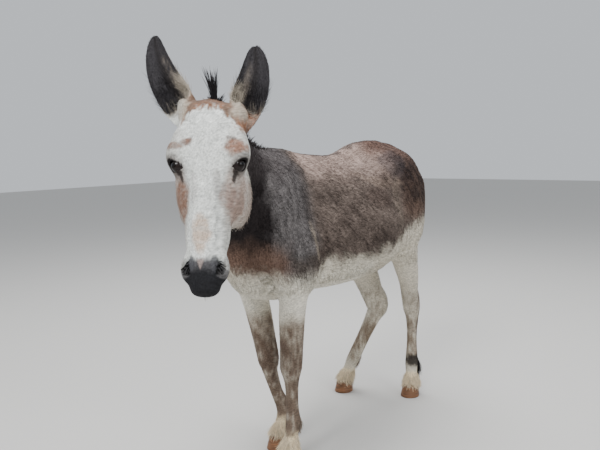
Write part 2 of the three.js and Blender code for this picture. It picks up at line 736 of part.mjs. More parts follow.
for (const [name, leg] of Object.entries(foreLegs)) {
  const foot = [leg.fetlock[0], leg.fetlock[1] - FORE_TOE_REACH];
  const x = [Math.min(leg.elbow[0], foot[0]), Math.max(leg.elbow[0], foot[0])];
  addLeg(`foreleg_${name}`, foot, foreSpace(leg.side, 0), KNEE_HEIGHT, {
    lowerSpace: foreSpace(leg.side, 0, -200),
    lowerBox: { low: [x[0] - 80, -470, 20], high: [x[1] + 80, -220, KNEE_HEIGHT + 60] },
    upperBox: { low: [x[0] - 120, -590, KNEE_HEIGHT - 60], high: [x[1] + 120, -230, FORE_CUT_HEIGHT + 60] },
  });
}
for (const [name, leg] of Object.entries(hindLegs)) {
  const x = [Math.min(leg.stifle[0], leg.toe[0]), Math.max(leg.stifle[0], leg.hock[0])];
  addLeg(`hindleg_${name}`, leg.toe, hindSpace(leg.side, 0), HOCK_CUT_HEIGHT, {
    lowerSpace: hindSpace(leg.side, 0),
    lowerBox: { low: [x[0] - 90, 290, 20], high: [x[1] + 90, 680, HOCK_CUT_HEIGHT + 60] },
    upperBox: { low: [x[0] - 110, 190, HOCK_CUT_HEIGHT - 60], high: [x[1] + 120, 700, 880] },
  });
}

// ---- Origin under the middle of the whole animal, on the ground ----
const box = new THREE.Box3().setFromObject(model);
model.position.set(-(box.min.x + box.max.x) / 2, -(box.min.y + box.max.y) / 2, -box.min.z);

export default part;
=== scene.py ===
import math

import bpy
import numpy as np
from mathutils import Matrix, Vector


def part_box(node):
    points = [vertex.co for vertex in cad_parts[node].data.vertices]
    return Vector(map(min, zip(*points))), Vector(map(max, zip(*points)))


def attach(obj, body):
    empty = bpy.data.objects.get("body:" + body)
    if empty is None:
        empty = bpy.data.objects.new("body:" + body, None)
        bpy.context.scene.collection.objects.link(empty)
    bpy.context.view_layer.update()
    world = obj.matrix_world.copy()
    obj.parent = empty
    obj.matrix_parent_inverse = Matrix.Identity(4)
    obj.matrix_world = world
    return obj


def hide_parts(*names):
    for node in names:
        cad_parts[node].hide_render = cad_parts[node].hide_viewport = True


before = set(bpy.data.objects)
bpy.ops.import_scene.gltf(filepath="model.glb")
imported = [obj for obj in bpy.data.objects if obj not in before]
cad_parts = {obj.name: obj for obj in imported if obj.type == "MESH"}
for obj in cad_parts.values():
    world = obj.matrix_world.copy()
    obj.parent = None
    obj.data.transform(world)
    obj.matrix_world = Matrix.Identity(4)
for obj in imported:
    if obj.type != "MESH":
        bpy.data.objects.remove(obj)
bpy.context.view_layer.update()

# ---- Camera ----
# It stands at the height of a person's chest, before the donkey's left shoulder, and looks slightly down.
CAMERA_PLACE = (1.692, -2.062, 1.244)
CAMERA_AZIMUTH = math.radians(40.65)
CAMERA_ELEVATION = math.radians(6.65)
CAMERA_ROLL = math.radians(1.31)
LENS_MM = 39.6

bpy.ops.object.select_all(action="DESELECT")
turn = Matrix.Rotation(CAMERA_AZIMUTH, 4, "Z") @ Matrix.Rotation(math.pi / 2 - CAMERA_ELEVATION, 4, "X")
turn = turn @ Matrix.Rotation(-CAMERA_ROLL, 4, "Z")
bpy.ops.object.camera_add(location=CAMERA_PLACE, rotation=turn.to_euler())
camera = bpy.context.object
camera.name = "camera"
camera.data.lens = LENS_MM
bpy.context.scene.camera = camera

# ---- Skin ----
# One hide covers trunk, neck, head, ears, legs and dock. Oval tubes and rounded muscles blend into a field
# of flesh, and the hide lies inside it by the hair's depth. Places are in millimetres above the ground, with
# the animal's left as +X and its rump towards +Y.
LEFT = 1
RIGHT = -1
WITHERS_HEIGHT = 1250
BACK_HEIGHT = 1202
CROUP_HEIGHT = 1278
ELBOW_HEIGHT = 700
STIFLE_HEIGHT = 770
HOCK_HEIGHT = 440
KNEE_HEIGHT = 390
FETLOCK_HEIGHT = 165
HOOF_HEIGHT = 62
HEAD_LENGTH = 565
HEAD_YAW = math.radians(36.5)
HEAD_PITCH = math.radians(18)
POLL = np.array([299.0, -955.0, 1396.0])
FLESH_NODES = ["trunk", "neck", "head", "ear_left", "ear_right", "tail_dock"]
LIMBS = ("foreleg_left", "foreleg_right", "hindleg_left", "hindleg_right")
for limb in LIMBS:
    FLESH_NODES += [limb + "_upper", limb + "_lower"]

# The middle of the left fore hoof is known here and in the frame, which ties one to the other.
FORE_HOOF_MIDDLE = (100, -423.4, 0)
hoof_low, hoof_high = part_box("foreleg_left_hoof")
ORIGIN = np.array([(hoof_low[k] + hoof_high[k]) * 500 - FORE_HOOF_MIDDLE[k] for k in range(3)])
ORIGIN[2] = 0


def unit(v):
    return v / np.maximum(np.linalg.norm(v, axis=-1, keepdims=True), 1e-9)


facing = np.array([math.sin(HEAD_YAW), -math.cos(HEAD_YAW), 0])
head_left = np.cross([0, 0, 1], facing)
face_out = facing * math.cos(HEAD_PITCH) + np.array([0, 0, math.sin(HEAD_PITCH)])
face_down = facing * math.sin(HEAD_PITCH) - np.array([0, 0, math.cos(HEAD_PITCH)])
head_axes = np.array([head_left, face_out, face_down])


def on_head(across, out, down):
    return POLL + across * head_left + out * face_out + down * face_down


def in_head(points):
    return (points - POLL) @ head_axes.T


def through_stations(rows, steps):
    """A smooth curve through station rows (Catmull-Rom), with steps rows to each span."""
    rows = np.array([list(row) + [0] * (6 - len(row)) for row in rows], float)
    curve = []
    for i in range(len(rows) - 1):
        before, here, there, after = (rows[min(max(i + k, 0), len(rows) - 1)] for k in (-1, 0, 1, 2))
        for t in np.arange(steps) / steps:
            bend = 2 * before - 5 * here + 4 * there - after
            twist = -before + 3 * here - 3 * there + after
            curve.append((2 * here + (there - before) * t + bend * t**2 + twist * t**3) / 2)
    curve.append(rows[-1])
    return np.array(curve)


class Tube:
    """An oval tube. A station is x, y, z, half width, half depth, and fullness towards its under side."""

    def __init__(self, stations, blend, side=(1, 0, 0), steps=4):
        self.rows = through_stations(stations, steps)
        self.blend = blend
        centres = self.rows[:, :3]
        padded = np.vstack([centres[:1], centres, centres[-1:]])
        along = unit(padded[2:] - padded[:-2])
        side = np.array(side, float)
        self.lefts = unit(side - (along @ side)[:, None] * along)
        self.downs = np.cross(along, self.lefts)
        reach = 1.05 * self.rows[:, 3:5].max()
        self.low = centres.min(axis=0) - reach
        self.high = centres.max(axis=0) + reach

    def nearest(self, points):
        best = np.full(len(points), np.inf)
        span = np.zeros(len(points), int)
        share = np.zeros(len(points))
        for i in range(len(self.rows) - 1):
            step = self.rows[i + 1, :3] - self.rows[i, :3]
            away = points - self.rows[i, :3]
            t = np.clip(away @ step / (step @ step), 0, 1)
            away = away - t[:, None] * step
            far = (away * away).sum(axis=1)
            closer = far < best
            best[closer] = far[closer]
            span[closer] = i
            share[closer] = t[closer]
        return span, share[:, None]

    def distance(self, points):
        span, t = self.nearest(points)
        row = self.rows[span] * (1 - t) + self.rows[span + 1] * t
        left = unit(self.lefts[span] * (1 - t) + self.lefts[span + 1] * t)
        down = unit(self.downs[span] * (1 - t) + self.downs[span + 1] * t)
        away = points - row[:, :3]
        v = (away * down).sum(axis=1) / row[:, 4]
        wide = row[:, 3] * (1 + row[:, 5] * np.clip(v, -1, 1))
        u = (away * left).sum(axis=1) / wide
        w = (away * np.cross(left, down)).sum(axis=1) / (0.8 * np.minimum(wide, row[:, 4]))
        q = np.maximum(np.sqrt(u * u + v * v + w * w), 1e-6)
        return np.linalg.norm(away, axis=1) * (1 - 1 / q)


class Muscle:
    """A rounded mass: an ellipsoid along the axes of the body, or of the head."""

    def __init__(self, centre, radii, blend, axes=np.eye(3)):
        self.centre = np.array(centre, float)
        self.radii = np.array(radii, float)
        self.blend = blend
        self.axes = np.array(axes)
        self.low = self.centre - self.radii.max()
        self.high = self.centre + self.radii.max()

    def distance(self, points):
        away = points - self.centre
        q = np.maximum(np.linalg.norm(away @ self.axes.T / self.radii, axis=1), 1e-6)
        return np.linalg.norm(away, axis=1) * (1 - 1 / q)


def near(mass, points, margin):
    return np.all((points > mass.low - margin) & (points < mass.high + margin), axis=1)


def smooth_min(a, b, k):
    h = np.clip(0.5 + 0.5 * (b - a) / k, 0, 1)
    return b + (a - b) * h - k * h * (1 - h)


def blended(masses, hollows, points):
    """Distance from the surface of the blended masses, less the hollows, negative inside."""
    d = np.full(len(points), 1000.0)
    for mass in masses:
        chosen = near(mass, points, 120)
        d[chosen] = smooth_min(d[chosen], mass.distance(points[chosen]), mass.blend)
    for hollow in hollows:
        chosen = near(hollow, points, 30)
        d[chosen] = -smooth_min(-d[chosen], hollow.distance(points[chosen]), hollow.blend)
    return d


def on_both_sides(make):
    return [mass for side in (LEFT, RIGHT) for mass in make(side)]


barrel = Tube([
    (0, -560, 920, 80, 120, 0),
    (0, -490, 945, 128, 200, 0.05),
    (0, -370, 952, 170, 268, 0.2),
    (0, -190, 934, 220, 284, 0.22),
    (0, 0, 920, 252, 278, 0.18),
    (0, 170, 931, 254, 275, 0.12),
    (0, 320, 1005, 214, 262),
    (0, 450, 1070, 176, 185),
    (0, 540, 1055, 126, 138),
], 40)
spine = Tube([
    (0, -520, WITHERS_HEIGHT - 110, 30, 40),
    (0, -400, WITHERS_HEIGHT - 58, 30, 45),
    (0, -300, WITHERS_HEIGHT - 58, 32, 44),
    (0, -180, BACK_HEIGHT - 37, 36, 40),
    (0, 0, BACK_HEIGHT - 36, 40, 42),
    (0, 130, BACK_HEIGHT + 9, 45, 42),
    (0, 240, CROUP_HEIGHT - 48, 48, 44),
    (0, 350, CROUP_HEIGHT - 49, 50, 44),
    (0, 470, CROUP_HEIGHT - 98, 42, 45),
    (0, 560, CROUP_HEIGHT - 170, 30, 40),
], 60)
breast = Tube([
    (0, -584, 900, 56, 68),
    (0, -567, 810, 68, 60),
    (0, -496, 724, 73, 55),
    (0, -385, 686, 74, 46),
], 60)
neck = Tube([
    (0, -370, 1010, 120, 215),
    (8, -490, 1048, 106, 205),
    (62, -625, 1105, 88, 178),
    (142, -745, 1182, 75, 142),
    (210, -840, 1255, 66, 112),
    (258, -900, 1300, 62, 90),
], 60)


def trunk_muscles(side):
    shoulder_blade = Tube([
        (side * 72, -345, 1140, 36, 75),
        (side * 104, -420, 1020, 48, 98),
        (side * 118, -490, 900, 54, 95),
        (side * 112, -520, 835, 52, 82),
    ], 70)
    triceps = Muscle((side * 138, -375, 810), (62, 112, 140), 50)
    croup = Muscle((side * 106, 344, 1080), (98, 166, 146), 60)
    buttock = Muscle((side * 92, 520, 985), (66, 88, 150), 60)
    return [shoulder_blade, triceps, croup, buttock]


# Where the joints of each limb stand: (x, y) at elbow or stifle, knee or hock, fetlock and toe.
FORE_TOE_REACH = 28
FORE_LEGS = [
    {"side": LEFT, "elbow": (125, -395), "knee": (103, -391), "fetlock": (100, -385)},
    {"side": RIGHT, "elbow": (-112, -385), "knee": (-42, -366), "fetlock": (-35, -290)},
]
HIND_LEGS = [
    {"side": LEFT, "stifle": (133, 395), "hock": (84, 552), "fetlock": (90, 535), "toe": (98, 518),
     "girth": 1},
    {"side": RIGHT, "stifle": (-135, 345), "hock": (-76, 488), "fetlock": (-172, 396), "toe": (-206, 372),
     "girth": 1.27},
]


def mix(a, b, t):
    return np.array(a, float) * (1 - t) + np.array(b, float) * t


def fore_leg(leg):
    elbow, knee, fetlock = leg["elbow"], leg["knee"], leg["fetlock"]
    toe = (fetlock[0], fetlock[1] - FORE_TOE_REACH)
    bone = Tube([
        (leg["side"] * 118, -430, 840, 58, 95),
        (*elbow, ELBOW_HEIGHT, 52, 76),
        (*mix(elbow, knee, 0.4), 600, 52, 62),
        (*mix(elbow, knee, 0.75), 480, 47, 53),
        (*knee, KNEE_HEIGHT, 46, 48),
        (*mix(knee, fetlock, 0.1), 330, 32, 33),
        (*mix(knee, fetlock, 0.5), 240, 27, 28),
        (*fetlock, FETLOCK_HEIGHT - 5, 33, 35),
        (*mix(fetlock, toe, 0.5), 108, 27, 31),
        (*toe, HOOF_HEIGHT, 38, 43),
    ], 35, steps=3)
    knee_back = Muscle((knee[0], knee[1] + 34, KNEE_HEIGHT + 14), (16, 14, 26), 16)
    knee_front = Muscle((knee[0], knee[1] - 24, KNEE_HEIGHT + 2), (30, 18, 34), 14)
    tendon = Tube([
        (knee[0], knee[1] + 28, KNEE_HEIGHT - 20, 15, 12),
        (*mix(knee, fetlock, 0.5) + (0, 24), 240, 12, 10),
        (fetlock[0], fetlock[1] + 24, FETLOCK_HEIGHT + 12, 15, 11),
    ], 9)
    fetlock_back = Muscle((fetlock[0], fetlock[1] + 26, FETLOCK_HEIGHT - 12), (21, 15, 20), 12)
    return [bone, knee_back, knee_front, tendon, fetlock_back]


def hind_leg(leg):
    knee = np.array([*leg["stifle"], STIFLE_HEIGHT], float)
    heel = np.array([*leg["hock"], HOCK_HEIGHT], float)
    ankle = np.array([*leg["fetlock"], FETLOCK_HEIGHT], float)
    foot = np.array([*leg["toe"], HOOF_HEIGHT], float)
    shin = unit(knee - heel)
    cannon = unit(ankle - heel)
    behind = unit(np.cross([1, 0, 0], cannon))
    girth = leg["girth"]
    bone = Tube([
        (leg["side"] * 108, 420, 1060, 80, 145),
        (leg["side"] * 128, 415, 900, 80, 140),
        (*knee, 63, 102),
        (*mix(knee, heel, 0.5) + (0, 4, 0), 50 * girth, 61 * girth),
        (*mix(knee, heel, 0.78) + (0, -8, 8), 41 * girth, 54 * girth),
        (*heel + (0, -6, 0), 40 * girth, 55 * girth),
        (*mix(heel, ankle, 0.22), 31 * girth, 38 * girth),
        (*mix(heel, ankle, 0.6), 27 * girth, 30 * girth),
        (*ankle, 34, 38),
        (*mix(ankle, foot, 0.5), 31, 35),
        (*foot, 38, 43),
    ], 45)
    hamstring = Tube([
        (*heel + cannon * 80 + behind * 18, 14, 14),
        (*heel + (0, 42, 30), 19, 19),
        (*heel + shin * 130 + (0, 44, 10), 14, 20),
        (*heel + shin * 230 + (0, 50, 10), 30, 34),
    ], 20)
    tendon = Tube([
        (*heel + cannon * 50 + behind * 26, 15, 14),
        (*mix(heel, ankle, 0.6) + behind * 24, 12, 10),
        (*ankle + behind * 25 - cannon * 12, 15, 11),
    ], 9)
    fetlock_back = Muscle(ankle + behind * 27 + cannon * 8, (21, 15, 20), 12)
    return [bone, hamstring, tendon, fetlock_back]


def along_face(rows, blend):
    stations = [(*on_head(across, out, down), *section) for across, out, down, *section in rows]
    return Tube(stations, blend, side=head_left)


def on_face(across, out, down, radii, blend):
    return Muscle(on_head(across, out, down), radii, blend, head_axes)


skull = along_face([
    (0, -85, 10, 52, 54),
    (0, -95, 50, 76, 82, 0.08),
    (0, -104, 110, 99, 102, 0.14),
    (0, -110, 170, 102, 110, 0.2),
    (0, -114, 225, 97, 114, 0.22),
    (0, -102, 290, 85, 96, 0.12),
    (0, -88, 350, 74, 80),
    (0, -75, 410, 66, 66, -0.05),
    (0, -66, 460, 57, 56),
    (0, -64, 510, 50, 50, 0.05),
    (0, -66, HEAD_LENGTH - 24, 38, 37),
], 30)
nose_bridge = along_face([
    (0, -52, 190, 28, 24),
    (0, -36, 290, 32, 28),
    (0, -38, 400, 32, 28),
    (0, -46, 460, 30, 26),
], 25)
upper_lip = on_face(0, -64, HEAD_LENGTH - 26, (43, 37, 31), 25)
chin = on_face(0, -100, HEAD_LENGTH - 49, (31, 23, 32), 20)


def head_muscles(side):
    return [
        on_face(side * 72, -158, 258, (42, 84, 98), 40),
        on_face(side * 80, -66, 112, (34, 42, 50), 30),
        on_face(side * 90, -50, 160, (34, 38, 46), 40),
        on_face(side * 46, -56, 494, (26, 32, 40), 24),
        on_face(side * 48, -78, 44, (36, 44, 44), 30),
    ]


EARS = {
    "left": {
        "side": LEFT,
        "root": on_head(76, -92, 34),
        "bend": on_head(144, -104, -80),
        "tip": on_head(124, -116, -217),
        "opening": face_out + head_left * 0.1,
    },
    "right": {
        "side": RIGHT,
        "root": on_head(-62, -92, 26),
        "bend": on_head(-195, -96, -112),
        "tip": on_head(-197, -112, -262),
        "opening": face_out - head_left * 0.4,
    },
}


def on_ear_axis(ear, t):
    return mix(mix(ear["root"], ear["bend"], t), mix(ear["bend"], ear["tip"], t), t)


def ear_base(ear):
    def towards_poll(t, inwards):
        return on_ear_axis(ear, t) - head_left * ear["side"] * inwards

    return Tube([
        (*towards_poll(0, 6), 44, 42),
        (*towards_poll(0.1, 10), 38, 34),
        (*towards_poll(0.18, 13), 21, 20),
        (*towards_poll(0.26, 14), 7, 7),
    ], 34, side=head_left)


dock = Tube([
    (0, 555, 1175, 26, 24),
    (0, 615, 1135, 27, 24),
    (2, 655, 1060, 24, 22),
    (6, 668, 970, 21, 20),
    (10, 668, 880, 17, 17),
    (12, 666, 850, 12, 12),
], 16)

flesh = [barrel, spine, breast, *on_both_sides(trunk_muscles), neck]
flesh += [mass for leg in FORE_LEGS for mass in fore_leg(leg)]
flesh += [mass for leg in HIND_LEGS for mass in hind_leg(leg)]
flesh += [skull, nose_bridge, upper_lip, chin, *on_both_sides(head_muscles)]
flesh += [ear_base(ear) for ear in EARS.values()] + [dock]

# Each eye lies in lids: a thin ball of skin round it, with an almond opening whose long axis runs from the
# brow down to the tear corner, and a crease over the upper lid.
EYE_RADIUS = 21
LID_REACH = 5.2
CREASE_REACH = 26
CREASE_LIFT = 0.74


def eye_frame(side):
    """The eye's middle, the way it looks, the long axis of its opening and the way up across that."""
    low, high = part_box("eye_left" if side == LEFT else "eye_right")
    middle = (np.array(low) + np.array(high)) * 500 - ORIGIN
    look = unit(side * 0.7 * head_left + 0.71 * face_out - 0.02 * face_down)
    slant = 0.5 * face_down + 0.6 * face_out - 0.36 * side * head_left
    slit = unit(slant - (slant @ look) * look)
    lid_up = np.cross(look, slit) * side
    return middle, look, slit, lid_up


def lid_crease(side):
    """A thin tube that follows the opening a little above it, as the fold of the upper lid does."""
    middle, look, slit, lid_up = eye_frame(side)
    stations = []
    for angle in np.radians([-62, -36, -10, 16, 42]):
        place = middle + CREASE_REACH * (math.sin(angle) * slit + CREASE_LIFT * math.cos(angle) * lid_up)
        place = place + look * (0.62 + 0.2 * math.cos(angle)) * EYE_RADIUS * (1 - 0.35 * CREASE_LIFT)
        half = 2.2 * (0.5 + 0.5 * math.cos(angle * 1.2))
        stations.append((*place, half, half))
    return Tube(stations, 5, side=look)


def lids(side):
    middle, look, slit, lid_up = eye_frame(side)
    ball = Muscle(middle, np.full(3, EYE_RADIUS + LID_REACH), 9)
    corner = middle + slit * 23 + look * 9
    tear_corner = Muscle(corner, (8, 9, 9), 8)
    return [ball, tear_corner]


def lid_hollows(side):
    middle, look, slit, lid_up = eye_frame(side)
    lid_axes = (slit, lid_up, look)
    opening = Muscle(middle + look * (EYE_RADIUS - 8) - lid_up * 2, (17.5, 7, 15), 2.5, lid_axes)
    corner = Muscle(middle + look * 12 + slit * 19 - lid_up * 4, (8, 2.2, 10), 3, lid_axes)
    return [opening, corner, lid_crease(side)]


flesh += on_both_sides(lids)


def nostril(side):
    return Tube([
        (*on_head(side * 49, -27, 464), 5, 10),
        (*on_head(side * 52, -32, 474), 7, 18),
        (*on_head(side * 50, -32, 488), 8, 20),
        (*on_head(side * 44, -31, 501), 7, 17),
        (*on_head(side * 37, -29, 509), 5, 9),
    ], 4, side=face_out)


hollows = [nostril(LEFT), nostril(RIGHT)] + on_both_sides(lid_hollows)


class Swelling:
    """A soft rise of the surface with its reach each way, or a dip where its height is negative."""

    def __init__(self, middle, reach, height, axes=np.eye(3)):
        self.middle = np.array(middle, float)
        self.reach = np.array(reach, float)
        self.height = height
        self.axes = np.array(axes)

    def rise(self, points):
        away = (points - self.middle) @ self.axes.T / self.reach
        return self.height * np.exp(-(away**2).sum(axis=1))


class Ridge:
    """A soft ridge along a line of places, or a furrow where its height is negative."""

    def __init__(self, places, reach, height):
        self.places = np.array(places, float)
        self.reach = reach
        self.height = height

    def rise(self, points):
        far = np.full(len(points), 1e6)
        for start, end in zip(self.places[:-1], self.places[1:]):
            step = end - start
            t = np.clip((points - start) @ step / (step @ step), 0, 1)
            far = np.minimum(far, np.linalg.norm(points - start - t[:, None] * step, axis=1))
        return self.height * np.exp(-((far / self.reach) ** 2))


def body_relief(side):
    """Bones and hollows that show under the hide: elbow, breast, hip, stifle, flank, shoulder and ribs."""
    return [
        Swelling((side * 160, -318, 735), (34, 40, 46), 12),
        Swelling((side * 128, -585, 868), (44, 40, 56), 10),
        Swelling((side * 182, 205, 1140), (44, 52, 42), 10),
        Swelling((side * 190, 320, 812), (50, 60, 70), 10),
        Swelling((side * 230, 215, 1050), (70, 80, 90), -16),
        Swelling((side * 170, -255, 800), (50, 34, 90), -12),
        Ridge([(side * 95, -395, 1150), (side * 150, -470, 1010), (side * 165, -540, 900)], 30, 6),
        Ridge([(side * 60, -600, 960), (side * 105, -560, 1060)], 34, -8),
        Ridge([(side * 172, 330, 690), (side * 214, 230, 745), (side * 226, 120, 800),
               (side * 222, 30, 800)], 20, 6),
        Ridge([(side * 185, 262, 1120), (side * 214, 244, 1000), (side * 216, 262, 860)], 26, -9),
        Ridge([(side * 150, -300, 1110), (side * 186, -296, 980), (side * 200, -300, 850),
               (side * 180, -300, 760)], 16, -6),
    ]


def head_relief(side):
    """Brow, the dip above the eye, cheek crest, jaw edge, nose bones, mouth and lips."""
    def at(*rows):
        return [on_head(side * across, out, down) for across, out, down in rows]

    def dent(across, out, down, reach, height):
        return Swelling(on_head(side * across, out, down), reach, height, head_axes)

    return [
        dent(84, -26, 166, (26, 18, 12), 9),
        dent(62, -22, 206, (16, 20, 26), -4),
        dent(96, -50, 122, (18, 24, 24), -7),
        dent(74, -44, 232, (20, 20, 14), 3),
        Ridge(at((92, -84, 232), (78, -80, 285), (66, -78, 340)), 11, 6),
        Ridge(at((66, -232, 214), (56, -200, 290), (44, -150, 380)), 16, 5),
        Ridge(at((86, -130, 300), (66, -110, 370)), 24, -5),
        Ridge(at((30, -8, 215), (33, -8, 300), (31, -14, 420)), 8, 4),
        Ridge(at((58, -26, 250), (52, -26, 330), (46, -30, 410)), 13, -5),
        Ridge(at((0, -4, 230), (0, -4, 330), (0, -10, 420)), 11, -2.5),
        Ridge(at((40, -20, 452), (52, -30, 462)), 9, -4),
        Ridge(at((0, -98, 566), (28, -98, 556), (46, -100, 520), (54, -106, 470)), 4, -7),
        dent(66, -122, 190, (20, 60, 60), 5),
        dent(30, -64, 566, (26, 20, 16), 4),
    ]


relief = on_both_sides(body_relief) + on_both_sides(head_relief)


def ramp(x, start, end):
    """0 before start, 1 past end, and smooth between."""
    t = np.clip((x - start) / (end - start), 0, 1)
    return t * t * (3 - 2 * t)


BODY_HAIR_DEPTH = 8.0
LEG_HAIR_DEPTH = 4.0
FACE_HAIR_DEPTH = 2.5
head_root = on_head(0, -165, 0)
head_back = unit(-0.925 * face_out - 0.38 * face_down)


def hair_depth(points):
    depth = LEG_HAIR_DEPTH + (BODY_HAIR_DEPTH - LEG_HAIR_DEPTH) * ramp(points[:, 2], 480, 760)
    ahead = ramp((points - head_root) @ head_back, 60, -60)
    return depth + (FACE_HAIR_DEPTH - depth) * ahead


def skin_field(points):
    surface = blended(flesh, hollows, points) + hair_depth(points)
    for mark in relief:
        surface -= mark.rise(points)
    return surface


CORNER_STEPS = np.array([(1, 1, 1), (1, -1, -1), (-1, 1, -1), (-1, -1, 1)]) * 0.4


def onto(field, points, rounds, most=6.0):
    """Moves points along the slope of the field, measured at four corners round each, to its surface."""
    for _ in range(rounds):
        values = np.stack([field(points + step) for step in CORNER_STEPS], axis=1)
        slope = values @ CORNER_STEPS / (CORNER_STEPS**2).sum(axis=0)
        steep = np.maximum(np.linalg.norm(slope, axis=1), 0.3)
        move = np.clip(values.mean(axis=1) / steep, -most, most)
        points = points - unit(slope) * move[:, None]
    return points


def mesh_points(mesh):
    points = np.empty(len(mesh.vertices) * 3)
    mesh.vertices.foreach_get("co", points)
    return points.reshape(-1, 3) * 1000 - ORIGIN


def set_mesh_points(mesh, points):
    mesh.vertices.foreach_set("co", ((points + ORIGIN) / 1000).ravel())
    mesh.update()


def copy_of(node):
    source = bpy.data.objects[node]
    piece = bpy.data.objects.new(node + "_copy", source.data.copy())
    bpy.context.collection.objects.link(piece)
    return piece


HIDE_VOXEL = 0.011
LEGS_CUT_FINE_BELOW = 470
LIPS_START = 450
for node in FLESH_NODES:
    if not node.startswith("ear"):
        copy_of(node).select_set(True)
bpy.context.view_layer.objects.active = bpy.data.objects["trunk_copy"]
bpy.ops.object.join()
skin = bpy.context.object
skin.name = skin.data.name = "skin"
bpy.ops.object.mode_set(mode="EDIT")
bpy.ops.mesh.select_all(action="SELECT")
bpy.ops.mesh.remove_doubles(threshold=1e-5)
bpy.ops.object.mode_set(mode="OBJECT")
skin.data.remesh_voxel_size = HIDE_VOXEL
bpy.ops.object.voxel_remesh()


def neighbours(mesh):
    edges = np.empty(len(mesh.edges) * 2, int)
    mesh.edges.foreach_get("vertices", edges)
    return edges.reshape(-1, 2).T


def relaxed(mesh, points, rounds, share=0.5, weight=None):
    """Evens out the spacing of points by drawing each one towards the middle of its neighbours."""
    a, b = neighbours(mesh)
    count = np.bincount(np.concatenate([a, b]), minlength=len(points))
    share = share if weight is None else share * weight[:, None]
    for _ in range(rounds):
        total = np.stack([
            np.bincount(a, points[b, k], len(points)) + np.bincount(b, points[a, k], len(points))
            for k in range(3)
        ], axis=1)
        points = points + (total / np.maximum(count, 1)[:, None] - points) * share
    return points


def settle(mesh, rounds, chosen=None, most=6.0):
    """Relaxes the chosen points of the skin and sets them on its field."""
    points = mesh_points(mesh)
    chosen = np.ones(len(points), bool) if chosen is None else chosen
    points = relaxed(mesh, points, 2, weight=chosen.astype(float))
    points[chosen] = onto(skin_field, points[chosen], rounds, most)
    set_mesh_points(mesh, points)


def refine(mesh, wanted, rounds=2):
    """Cuts the faces round the wanted points into four, and settles their points anew."""
    bpy.ops.object.mode_set(mode="EDIT")
    bpy.ops.mesh.select_mode(type="VERT")
    bpy.ops.mesh.select_all(action="DESELECT")
    bpy.ops.object.mode_set(mode="OBJECT")
    mesh.vertices.foreach_set("select", wanted(mesh_points(mesh)))
    bpy.ops.object.mode_set(mode="EDIT")
    bpy.ops.mesh.subdivide()
    bpy.ops.object.mode_set(mode="OBJECT")
    settle(mesh, rounds, wanted(mesh_points(mesh)))


def within(points, centre, reach):
    return np.linalg.norm(points - centre, axis=1) < reach


def head_points(points):
    return (points - head_root) @ head_back < 20


def fine_places(points, reach):
    chosen = np.zeros(len(points), bool)
    for side in (LEFT, RIGHT):
        chosen |= within(points, eye_frame(side)[0], reach)
        chosen |= within(points, on_head(side * 60, -36, 490), reach * 0.75)
    return chosen


def head_and_legs(points):
    return head_points(points) | (points[:, 2] < LEGS_CUT_FINE_BELOW)


def eyes_and_muzzle(points):
    return fine_places(points, 46) | (head_points(points) & (in_head(points)[:, 2] > LIPS_START))


settle(skin.data, 4, most=12)
refine(skin.data, head_and_legs)
refine(skin.data, eyes_and_muzzle)
refine(skin.data, lambda points: fine_places(points, 34))
bpy.ops.object.shade_smooth()


# Each ear is a cup of thin gristle on a curved axis: rings of an outer and an inner arc, joined to the hide.
EAR_WIDTH = 100
EAR_HAIR_DEPTH = 1.5
EAR_WALL = 5
EAR_SKEW = 0.5
EAR_PROFILE = [(0, 0.95), (0.1, 1.06), (0.2, 1.13), (0.3, 1.12), (0.42, 1.09), (0.55, 1.02), (0.67, 0.92),
               (0.8, 0.76), (0.9, 0.57), (0.96, 0.38), (1, 0.13)]
EAR_ROUNDNESS = [(0, 1), (0.15, 0.85), (0.5, 0.62), (1, 0.4)]


def along(corners, t):
    return np.interp(t, *np.transpose(corners))


def ear_frame(ear, t):
    axis = unit(mix(ear["bend"], ear["tip"], t) - mix(ear["root"], ear["bend"], t))
    front = unit(ear["opening"] - (ear["opening"] @ axis) * axis)
    return on_ear_axis(ear, t), axis, front, np.cross(front, axis)


def ear_half_width(t):
    """Half the ear's width, drawn in to a round tip."""
    return EAR_WIDTH / 2 * along(EAR_PROFILE, t) - EAR_HAIR_DEPTH


